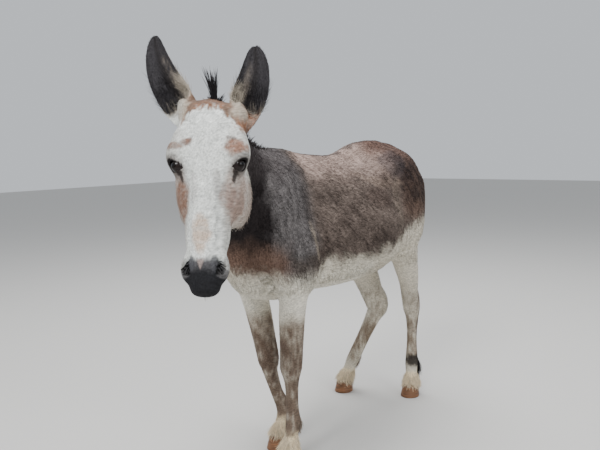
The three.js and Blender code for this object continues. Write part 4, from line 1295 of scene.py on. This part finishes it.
def strands(name, roots, headings, outs, lengths, widths, bends, colours, uv, rings=2, sides=3):
    """One mesh of closed, tapering strands. Bends are how far each tip is carried off its heading."""
    count = len(roots)
    right = unit(np.cross(headings, outs))
    up = np.cross(right, headings)
    layers = []
    shades = []
    for k in range(rings):
        s = k / rings
        middle = roots + headings * (lengths * s)[:, None] + bends * s**2
        half = widths * 0.5 * (1 - s**2.2) * (0.72 + 0.5 * s)
        for j in range(sides):
            angle = 2 * math.pi * (j + 0.25) / sides + math.pi / sides
            spoke = right * math.cos(angle) + up * BLADE_FLATNESS * math.sin(angle)
            layers.append(middle + spoke * half[:, None])
            shades.append(ROOT_TONE + TONE_RISE * s)
    layers.append(roots + headings * lengths[:, None] + bends)
    shades.append(TIP_TONE)
    each = rings * sides + 1
    points = np.stack(layers, axis=1).reshape(-1, 3)
    faces = [(0, j, j + 1) for j in range(1, sides - 1)]
    for k in range(rings - 1):
        for j in range(sides):
            a, b = k * sides + j, k * sides + (j + 1) % sides
            faces += [(a, b + sides, b), (a, a + sides, b + sides)]
    last = (rings - 1) * sides
    faces += [(last + j, each - 1, last + (j + 1) % sides) for j in range(sides)]
    faces = np.array(faces)
    faces = (faces[None] + np.arange(count)[:, None, None] * each).reshape(-1, 3)
    mesh = bpy.data.meshes.new(name)
    mesh.vertices.add(len(points))
    mesh.vertices.foreach_set("co", ((points + ORIGIN) / 1000).ravel())
    mesh.loops.add(faces.size)
    mesh.loops.foreach_set("vertex_index", faces.ravel())
    mesh.polygons.add(len(faces))
    mesh.polygons.foreach_set("loop_start", np.arange(len(faces)) * 3)
    mesh.update(calc_edges=True)
    tones = (colours[:, None] * np.array(shades)[None, :, None]).reshape(-1, 3)
    store_colour(mesh, tones)
    patch = np.zeros((each, 2))
    for k in range(rings):
        for j in range(sides):
            patch[k * sides + j] = (j / (sides - 1) - 0.5, k / rings - 0.5)
    patch[-1] = (0, 0.5)
    patch *= BAKE_PATCH
    spots = (uv[:, None] + patch[None]).reshape(-1, 2)
    layer = mesh.uv_layers.new(name="OFBake")
    layer.data.foreach_set("uv", spots[faces.ravel()].ravel())
    mesh.shade_smooth()
    piece = bpy.data.objects.new(name, mesh)
    bpy.context.collection.objects.link(piece)
    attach(piece, "root")
    return piece


def round_unwrap(points, start, end, front):
    """The skin unrolled round an axis: how far round, and how far along, each from 0 to 1."""
    start, end = np.array(start, float), np.array(end, float)
    axis = unit(end - start)
    front = np.array(front, float)
    front = unit(front - (front @ axis) * axis)
    away = points - start
    round_it = np.arctan2(away @ np.cross(axis, front), away @ front) / (2 * math.pi) + 0.5
    along_it = (away @ axis) / np.linalg.norm(end - start)
    return np.clip(np.stack([round_it, along_it], axis=1), 0.004, 0.996)


short_hair = coat_material("short_hair", 0.7, 0.78, 1.18, 0)


def tufts(name, wanted, count, seed, size, lift, unwrap):
    """Short hair over the wanted part of the skin: size gives length and width at each place."""
    places, normals, rng = roots_on_skin(wanted, max(count // THINNED, 8), seed)
    lie = lie_of_coat(places)
    lie = unit(lie - (lie * normals).sum(axis=1)[:, None] * normals)
    swirl = (noise(places, 70, 41) - 0.5) * 2 * SWIRL_DEGREES + rng.normal(0, SCATTER_DEGREES, len(places))
    swirl = np.radians(swirl)[:, None]
    lie = lie * np.cos(swirl) + np.cross(normals, lie) * np.sin(swirl)
    length, width = size(places)
    length = length * rng.uniform(0.7, 1.2, len(places))
    rise = lift * rng.uniform(0.5, 1.25, len(places))[:, None]
    headings = unit(lie + normals * rise)
    bends = -normals * (length * 0.12)[:, None] * rng.uniform(0.2, 1, len(places))[:, None]
    colours = coat_colour(places) * rng.normal(1, 0.1, (len(places), 1)).clip(0.7, 1.3)
    piece = strands(name, places - normals * 0.6, headings, normals, length, width, bends, colours,
                    round_unwrap(places, *unwrap))
    piece.data.materials.append(short_hair)


middle_share = head_share(skin_middles)
ear_share_of, ear_place_of, ear_inside_of, _ = ear_places(skin_middles)
neck_line = (skin_middles - np.array([20, -430, 1030])) @ unit(np.array([0.42, -0.72, 0.5]))
is_ear = ear_share_of > 0.5
is_head = (middle_share > 0.5) & ~is_ear
is_leg = (skin_middles[:, 2] < 705) & ~is_head & ~is_ear
is_neck = (neck_line > 30) & (skin_middles[:, 2] > 760) & ~is_head & ~is_ear
is_trunk = ~(is_ear | is_head | is_leg | is_neck)
head_middles = in_head(skin_middles)
bare = (head_middles[:, 2] > 470) & (head_middles[:, 1] > -75)
bare_share = np.where(bare, 0.0, 1.0)
for side in (LEFT, RIGHT):
    bare_share *= ramp(np.linalg.norm(skin_middles - eye_frame(side)[0], axis=1), 26, 33)
    bare_share *= ramp(nostril(side).distance(skin_middles), 2, 9)


def body_size(points):
    belly = ramp(points[:, 2], 800, 740)
    return 17 + 5 * belly, np.full(len(points), 2.5)


def leg_size(points):
    low = ramp(points[:, 2], 620, 300)
    return 13 - 4 * low, 2.2 - 0.6 * low


def face_size(points):
    h = in_head(points)
    low = ramp(h[:, 2], 150, 430)
    behind = ramp(-h[:, 1], 90, 160)
    return 7.5 - 3 * low + 8 * behind, 1.5 - 0.5 * low + 0.5 * behind


def ear_size(points):
    _, place, inside, _ = ear_places(points)
    return 8 + 9 * inside * ramp(place, 0.5, 0.2), np.full(len(points), 1.5)


TRUNK_AXIS = ((0, -640, 960), (0, 640, 1000), (0, 0, 1))
NECK_AXIS = ((0, -380, 1020), (262, -905, 1302), (0, 0, 1))
HEAD_AXIS = (on_head(0, -90, -30), on_head(0, -75, 575), face_out)
for side, name in ((LEFT, "left"), (RIGHT, "right")):
    of_side = skin_middles[:, 0] * side > 0
    rear = skin_middles[:, 1] > REAR_STARTS
    flank = is_trunk & of_side & ~rear
    rump = is_trunk & of_side & rear
    tufts("coat_flank_" + name, flank, FLANK_TUFTS, 100 + side, body_size, BODY_LIFT, TRUNK_AXIS)
    tufts("coat_rump_" + name, rump, RUMP_TUFTS, 110 + side, body_size, BODY_LIFT, TRUNK_AXIS)
    for legs, fore in (("foreleg_", True), ("hindleg_", False)):
        of_leg = is_leg & of_side & ((skin_middles[:, 1] < REAR_STARTS) == fore)
        leg = (FORE_LEGS if fore else HIND_LEGS)[0 if side == LEFT else 1]
        foot_x, foot_y = leg["fetlock"]
        axis = ((foot_x, foot_y, 0), (foot_x, foot_y, 720), (0, -1, 0))
        seed = 120 + side + 5 * fore
        tufts("coat_" + legs + name, of_leg, LEG_TUFTS, seed, leg_size, BODY_LIFT, axis)
    ear = EARS[name]
    of_ear = is_ear & (head_middles[:, 0] * side > 0)
    ear_share = of_ear * (1 - 0.35 * ear_inside_of)
    axis = (ear["root"], ear["tip"], ear["opening"])
    tufts("coat_ear_" + name, ear_share, EAR_TUFTS, 140 + side, ear_size, EAR_LIFT, axis)
tufts("coat_neck", is_neck, NECK_TUFTS, 151, body_size, BODY_LIFT, NECK_AXIS)
tufts("coat_face", is_head * bare_share, FACE_TUFTS, 152, face_size, FACE_LIFT, HEAD_AXIS)

# ---- Mane, forelock and tail ----
# Long dark hair: a short ragged mane along the crest, a forelock that stands up between the ears, and a
# tassel below the dock. Each is a mesh of tapering locks.
MANE_COLOUR = np.array([0.018, 0.014, 0.014])
FORELOCK_COLOUR = np.array([0.012, 0.01, 0.011])
TAIL_COLOUR = np.array([0.04, 0.026, 0.02])
MANE_LOCKS = 900
FORELOCK_LOCKS = 150
TAIL_LOCKS = 620
MANE_UPWARDS = np.array([0, 0.25, 1.0])
TAIL_END = np.array([20, 645, 512.0])
TAIL_LOWEST = 505
TAIL_AXIS = ((0, 620, 1180), (12, 666, 850), (0, 1, 0))
long_hair = coat_material("long_hair", 0.5, 0.85, 1.15, 0)
rng = np.random.default_rng(61)
crest = neck.rows[:, :3] + neck.downs * (neck.rows[:, 4:5] - 14)
crest = np.vstack([crest[3:21], on_head(0, -104, -26), on_head(0, -86, -30)])
spot = rng.random(MANE_LOCKS) ** 0.9 * (len(crest) - 1.001)
first = spot.astype(int)
roots = crest[first] + (crest[first + 1] - crest[first]) * (spot - first)[:, None]
run = unit(crest[first + 1] - crest[first])
up = unit(MANE_UPWARDS - (run @ MANE_UPWARDS)[:, None] * run)
across = np.cross(run, up)
shift = rng.normal(0, 6, (MANE_LOCKS, 1))
roots = roots + across * shift
sway = shift * 0.03 + rng.normal(0, 0.12, (MANE_LOCKS, 1))
lean_back = rng.normal(0.3, 0.2, (MANE_LOCKS, 1))
headings = unit(up + across * sway - run * lean_back)
lengths = rng.uniform(22, 36, MANE_LOCKS) * ramp(spot, len(crest) - 1, len(crest) - 8).clip(0.65, 1)
colours = MANE_COLOUR * rng.uniform(0.7, 1.5, (MANE_LOCKS, 1))
widths = rng.uniform(3, 5.5, MANE_LOCKS)
bends = across * rng.normal(0, 9, (MANE_LOCKS, 1))
mane = strands("mane_locks", roots, headings, evenly([1.0, 0, 0], roots), lengths, widths, bends, colours,
               round_unwrap(roots, *NECK_AXIS), rings=4, sides=4)
mane.data.materials.append(long_hair)
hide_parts("mane")

roots = on_head(13, -66, 8) + rng.normal(0, 1, (FORELOCK_LOCKS, 3)) * (4, 5, 3)
low_share = rng.random(FORELOCK_LOCKS) < 0.22
fan = rng.normal(0, 1, (FORELOCK_LOCKS, 2)) * (0.06, 0.08) + np.where(low_share, 0.8, 0)[:, None] * (1, 0)
rise = unit(on_head(-8, -52, -92) - on_head(0, -66, 10))
headings = unit(rise + fan[:, :1] * head_left + fan[:, 1:] * face_out)
lengths = rng.uniform(52, 130, FORELOCK_LOCKS) * np.where(low_share, 0.42, 1)
bends = (head_left * rng.normal(-0.03, 0.1, (FORELOCK_LOCKS, 1)) + face_out * 0.1) * lengths[:, None]
colours = FORELOCK_COLOUR * rng.uniform(0.7, 1.6, (FORELOCK_LOCKS, 1))
widths = rng.uniform(1.8, 4.2, FORELOCK_LOCKS)
outs = evenly(face_out, roots)
forelock = strands("forelock_locks", roots, headings, outs, lengths, widths, bends, colours,
                   round_unwrap(roots, *HEAD_AXIS), rings=5, sides=4)
forelock.data.materials.append(long_hair)
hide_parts("forelock")

share = rng.random(TAIL_LOCKS)
spot = share * (len(dock.rows) - 6.001) + 5
first = spot.astype(int)
centre = dock.rows[first, :3] + (dock.rows[first + 1, :3] - dock.rows[first, :3]) * (spot - first)[:, None]
turns = rng.random(TAIL_LOCKS) * 2 * math.pi
outs = np.stack([np.cos(turns), np.sin(turns), np.zeros(TAIL_LOCKS)], axis=1)
roots = centre + outs * (dock.rows[first, 3] * 0.62)[:, None]
reach = rng.uniform(0.45, 1.05, TAIL_LOCKS)
goal = roots + (TAIL_END + outs * rng.uniform(3, 24, (TAIL_LOCKS, 1)) - roots) * reach[:, None]
goal[:, 2] = np.maximum(goal[:, 2], TAIL_LOWEST)
bulge = outs * rng.uniform(6, 20, (TAIL_LOCKS, 1))
span = goal - roots
headings = unit(span + bulge)
lengths = np.linalg.norm(span + bulge, axis=1)
bends = goal - roots - headings * lengths[:, None]
colours = TAIL_COLOUR * rng.uniform(0.5, 1.6, (TAIL_LOCKS, 1)) * (1 - 0.45 * ramp(reach, 0.7, 1))[:, None]
widths = rng.uniform(5, 9, TAIL_LOCKS)
tail = strands("tail_locks", roots, headings, outs, lengths, widths, bends, colours,
               round_unwrap(roots, *TAIL_AXIS), rings=6, sides=4)
tail.data.materials.append(long_hair)
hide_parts("tail_tuft")

# ---- Longer hair ----
# The ears are lined with fine hair, the jaw and chin carry a fringe, and shaggy hair hangs over each coronet
# and behind each fetlock, dark behind the left hind one.
DARK_FETLOCK = 2
DARK_TUFT = (700, 44, (0.015, 0.012, 0.012))
PALE_TUFT = (200, 24, (0.22, 0.17, 0.13))
CORONET_WHEAT = (0.85, 0.72, 0.52)
fringe_hair = coat_material("fringe_hair", 0.6, 0.9, 1.1, 0)


def fringe(name, wanted, count, seed, length, width, lift, droop, unwrap, tint=None):
    """Longer, thinner hair over the wanted part of the skin."""
    places, normals, rng = roots_on_skin(wanted, max(count // THINNED, 8), seed)
    lie = lie_of_coat(places)
    lie = unit(lie - (lie * normals).sum(axis=1)[:, None] * normals)
    size = length * rng.uniform(0.6, 1.2, len(places))
    headings = unit(lie + normals * lift + rng.normal(0, 0.14, (len(places), 3)))
    bends = np.array(droop) * size[:, None]
    colours = coat_colour(places) if tint is None else np.tile(tint, (len(places), 1))
    colours = colours * rng.normal(1, 0.14, (len(places), 1)).clip(0.6, 1.4)
    widths = np.full(len(places), width)
    piece = strands(name, places - normals, headings, normals, size, widths, bends, colours,
                    round_unwrap(places, *unwrap), rings=4)
    piece.data.materials.append(fringe_hair)


for name, ear in EARS.items():
    of_ear = is_ear & (head_middles[:, 0] * ear["side"] > 0)
    lining = of_ear * ear_inside_of * ramp(ear_place_of, 0.62, 0.3)
    fringe("ear_lining_" + name, lining, 700, 160 + ear["side"], 30, 1.3, 0.5,
           0.25 * ear["opening"], (ear["root"], ear["tip"], ear["opening"]))
low_on_head = head_middles[:, 2]
under_head = -head_middles[:, 1]
jaw = is_head * ramp(under_head, 130, 175) * ramp(low_on_head, 60, 120) * ramp(low_on_head, 460, 400)
fringe("jaw_fringe", jaw, 1300, 163, 20, 1.3, 0.22, (0, 0, -0.2), HEAD_AXIS)
chin_hair = is_head * ramp(under_head, 92, 108) * ramp(low_on_head, 470, 500)
fringe("chin_whiskers", chin_hair, 160, 164, 24, 1.0, 0.9, (0, 0, -0.15), HEAD_AXIS)
for k, leg in enumerate(FORE_LEGS + HIND_LEGS):
    fetlock = np.array(leg["fetlock"], float)
    foot = np.array(leg.get("toe", (fetlock[0], fetlock[1] - FORE_TOE_REACH)), float)
    far = np.linalg.norm(skin_middles[:, :2] - foot, axis=1)
    height = skin_middles[:, 2]
    coronet = (far < 75) * ramp(height, 125, 85) * (height > 58)
    axis = ((foot[0], foot[1], 0), (foot[0], foot[1], 300), (0, -1, 0))
    fringe(f"coronet_hair_{k}", coronet, 1000, 170 + k, 30, 2.8, 0.5, (0, 0, -0.2), axis,
           CORONET_WHEAT)
    behind = within(skin_middles, [fetlock[0] + 12, fetlock[1] + 36, FETLOCK_HEIGHT - 12], 38)
    count, length, tint = DARK_TUFT if k == DARK_FETLOCK else PALE_TUFT
    fringe(f"ergot_hair_{k}", behind, count, 180 + k, length, 2.6, 0.3, (0, 0, -0.35), axis,
           tint)

# ---- Hooves ----
# Horn walls that flare a little to the ground, with growth rings, on a flat sole. The horn is amber-brown in
# darker and paler bands.
GROUND_HALF_WIDTH = 46
GROUND_HALF_LENGTH = 52
TOP_HALF_WIDTH = 38
TOP_HALF_LENGTH = 43
TOE_REACH = 12
CORONET_HEIGHT = 52
CORONET_SLOPE = 0.3
HEEL_TAPER = 0.14
HOOF_AROUND = 56
horn = bpy.data.materials.new("hoof_horn")
horn.use_nodes = True
nodes, links = horn.node_tree.nodes, horn.node_tree.links
surface = nodes["Principled BSDF"]
surface.inputs["Roughness"].default_value = 0.5
place = nodes.new("ShaderNodeTexCoord")
bands = nodes.new("ShaderNodeMapping")
bands.inputs["Scale"].default_value = (14, 14, 160)
grain = nodes.new("ShaderNodeTexNoise")
grain.inputs["Scale"].default_value = 1.6
grain.inputs["Detail"].default_value = 4
tones = nodes.new("ShaderNodeValToRGB")
tones.color_ramp.elements[0].position = 0.3
tones.color_ramp.elements[0].color = (0.04, 0.017, 0.008, 1)
tones.color_ramp.elements[1].position = 0.68
tones.color_ramp.elements[1].color = (0.29, 0.125, 0.048, 1)
bump = nodes.new("ShaderNodeBump")
bump.inputs["Distance"].default_value = 0.0012
bump.inputs["Strength"].default_value = 0.7
links.new(place.outputs["Object"], bands.inputs["Vector"])
links.new(bands.outputs["Vector"], grain.inputs["Vector"])
links.new(grain.outputs["Fac"], tones.inputs["Fac"])
links.new(tones.outputs["Color"], surface.inputs["Base Color"])
links.new(grain.outputs["Fac"], bump.inputs["Height"])
links.new(bump.outputs["Normal"], surface.inputs["Normal"])

feet = {}
for leg, limb in zip(FORE_LEGS + HIND_LEGS, LIMBS):
    fetlock = leg["fetlock"]
    feet[limb + "_hoof"] = leg.get("toe", (fetlock[0], fetlock[1] - FORE_TOE_REACH))
HOOF_RINGS = [(0, 0.955), (0.02, 0.99), (0.06, 1), (0.2, 0.99), (0.34, 1.004), (0.48, 0.988), (0.62, 1.002),
              (0.76, 0.988), (0.88, 0.998), (0.96, 0.985), (1, 0.94)]
for node, (foot_x, foot_y) in feet.items():
    turns = 2 * math.pi * np.arange(HOOF_AROUND) / HOOF_AROUND
    narrow = 1 - HEEL_TAPER * np.maximum(0, np.sin(turns))
    rings = []
    for t, swell in HOOF_RINGS:
        wide = (GROUND_HALF_WIDTH * (1 - t) + TOP_HALF_WIDTH * t) * swell
        reach = (GROUND_HALF_LENGTH * (1 - t) + TOP_HALF_LENGTH * t) * swell
        ring_x = foot_x + wide * narrow * np.cos(turns)
        ring_y = foot_y - TOE_REACH * (1 - t) + reach * np.sin(turns)
        ring_z = t * (CORONET_HEIGHT - CORONET_SLOPE * (ring_y - foot_y))
        rings.append(np.stack([ring_x, ring_y, ring_z], axis=1))
    points = (np.concatenate(rings) + ORIGIN) / 1000
    faces = [list(range(HOOF_AROUND))[::-1]]
    for k in range(len(HOOF_RINGS) - 1):
        for j in range(HOOF_AROUND):
            a = k * HOOF_AROUND + j
            b = k * HOOF_AROUND + (j + 1) % HOOF_AROUND
            faces.append([a, b, b + HOOF_AROUND, a + HOOF_AROUND])
    faces.append([(len(HOOF_RINGS) - 1) * HOOF_AROUND + j for j in range(HOOF_AROUND)])
    mesh = bpy.data.meshes.new(node + "_wall")
    mesh.from_pydata(points.tolist(), [], faces)
    piece = bpy.data.objects.new(node + "_wall", mesh)
    bpy.context.collection.objects.link(piece)
    bpy.ops.object.select_all(action="DESELECT")
    piece.select_set(True)
    bpy.context.view_layer.objects.active = piece
    bpy.ops.object.shade_smooth_by_angle(angle=math.radians(40))
    mesh.materials.append(horn)
    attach(piece, "root")
    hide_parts(node)

# ---- Eyes ----
# Wet balls, nearly black: a dark brown iris with a wide, level pupil, drawn by each point's place as seen
# along the eye's own gaze.
EYE_GAP = 0.4
IRIS = (1.12, 0.66, 0.6, (0.006, 0.0035, 0.0025, 1))
PUPIL = (2.1, 0.42, 0.36, (0.003, 0.003, 0.004, 1))
EYE_WHITE = (0.015, 0.01, 0.009, 1)
MIX_SHARE = 0
MIX_BELOW = 6
MIX_ABOVE = 7
MIX_COLOUR = 2
wet = bpy.data.materials.new("wet_eye")
wet.use_nodes = True
nodes, links = wet.node_tree.nodes, wet.node_tree.links
surface = nodes["Principled BSDF"]
surface.inputs["Roughness"].default_value = 0.1
surface.inputs["Specular IOR Level"].default_value = 0.2
gaze = nodes.new("ShaderNodeAttribute")
gaze.attribute_name = "gaze"
below = None
for squash, edge, full, hue in (IRIS, PUPIL):
    oval = nodes.new("ShaderNodeVectorMath")
    oval.operation = "MULTIPLY"
    oval.inputs[1].default_value = (1, squash, 0)
    far = nodes.new("ShaderNodeVectorMath")
    far.operation = "LENGTH"
    disc = nodes.new("ShaderNodeMapRange")
    disc.inputs["From Min"].default_value = edge
    disc.inputs["From Max"].default_value = full
    layer = nodes.new("ShaderNodeMix")
    layer.data_type = "RGBA"
    layer.inputs[MIX_ABOVE].default_value = hue
    if below:
        links.new(below.outputs[MIX_COLOUR], layer.inputs[MIX_BELOW])
    else:
        layer.inputs[MIX_BELOW].default_value = EYE_WHITE
    links.new(gaze.outputs["Vector"], oval.inputs[0])
    links.new(oval.outputs["Vector"], far.inputs[0])
    links.new(far.outputs["Value"], disc.inputs["Value"])
    links.new(disc.outputs["Result"], layer.inputs[MIX_SHARE])
    below = layer
links.new(below.outputs[MIX_COLOUR], surface.inputs["Base Color"])

for side, node in ((LEFT, "eye_left"), (RIGHT, "eye_right")):
    middle, look, _, _ = eye_frame(side)
    bpy.ops.object.select_all(action="DESELECT")
    bpy.ops.mesh.primitive_uv_sphere_add(segments=48, ring_count=32, radius=(EYE_RADIUS - EYE_GAP) / 1000)
    ball = bpy.context.object
    ball.name = ball.data.name = node + "_ball"
    local = np.empty(len(ball.data.vertices) * 3)
    ball.data.vertices.foreach_get("co", local)
    local = local.reshape(-1, 3)
    seen = unit(local)
    swell = 1 + 0.05 * ramp(seen @ look, 0.72, 0.95)
    ball.data.vertices.foreach_set("co", (local * swell[:, None] + (middle + ORIGIN) / 1000).ravel())
    level = unit(head_left * 0.2 * side - face_out * 0.05 + np.cross([0, 0, 1], look))
    level = unit(level - (level @ look) * look)
    high = np.cross(look, level)
    stored = ball.data.attributes.new("gaze", "FLOAT_VECTOR", "POINT")
    stored.data.foreach_set("vector", np.stack([seen @ level, seen @ high, seen @ look], axis=1).ravel())
    bpy.ops.object.shade_smooth()
    ball.data.materials.append(wet)
    ball.data.update()
    bpy.ops.object.select_all(action="DESELECT")
    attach(ball, "root")
    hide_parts(node)

# ---- Floor and light ----
# A plain pale floor that runs far back, and three broad soft lamps: one high before the donkey, one at its
# left, and one overhead behind it.
FLOOR_SIZE = 40
FLOOR_GREY = (0.55, 0.54, 0.52, 1)
FLOOR_ROUGHNESS = 0.9
SKY_TINT = (0.86, 0.9, 0.95, 1)
SKY_STRENGTH = 0.75
bpy.ops.object.select_all(action="DESELECT")
bpy.ops.mesh.primitive_plane_add(size=FLOOR_SIZE, location=(0, 0, 0))
floor = bpy.context.object
floor.name = floor.data.name = "floor"
plain = bpy.data.materials.new("floor")
plain.use_nodes = True
surface = plain.node_tree.nodes["Principled BSDF"]
surface.inputs["Base Color"].default_value = FLOOR_GREY
surface.inputs["Roughness"].default_value = FLOOR_ROUGHNESS
floor.data.materials.append(plain)

# Name, place, watts and size.
LAMPS = [
    ("key", (1.0, -3.8, 4.4), 200, 1.8),
    ("fill", (4.4, -0.4, 3.0), 75, 2.2),
    ("sky", (-1.0, 1.5, 5.2), 300, 3.6),
]
AIM = np.array([0.0, 0.0, 0.9])
for name, spot, power, size in LAMPS:
    lamp = bpy.data.lights.new(name, "AREA")
    lamp.energy = power
    lamp.size = size
    holder = bpy.data.objects.new(name, lamp)
    bpy.context.collection.objects.link(holder)
    holder.location = spot
    away = unit(np.array(spot) - AIM)
    holder.rotation_euler = (math.acos(away[2]), 0, math.atan2(away[1], away[0]) + math.pi / 2)
world = bpy.data.worlds.new("studio")
bpy.context.scene.world = world
world.use_nodes = True
backdrop = world.node_tree.nodes["Background"]
backdrop.inputs["Color"].default_value = SKY_TINT
backdrop.inputs["Strength"].default_value = SKY_STRENGTH
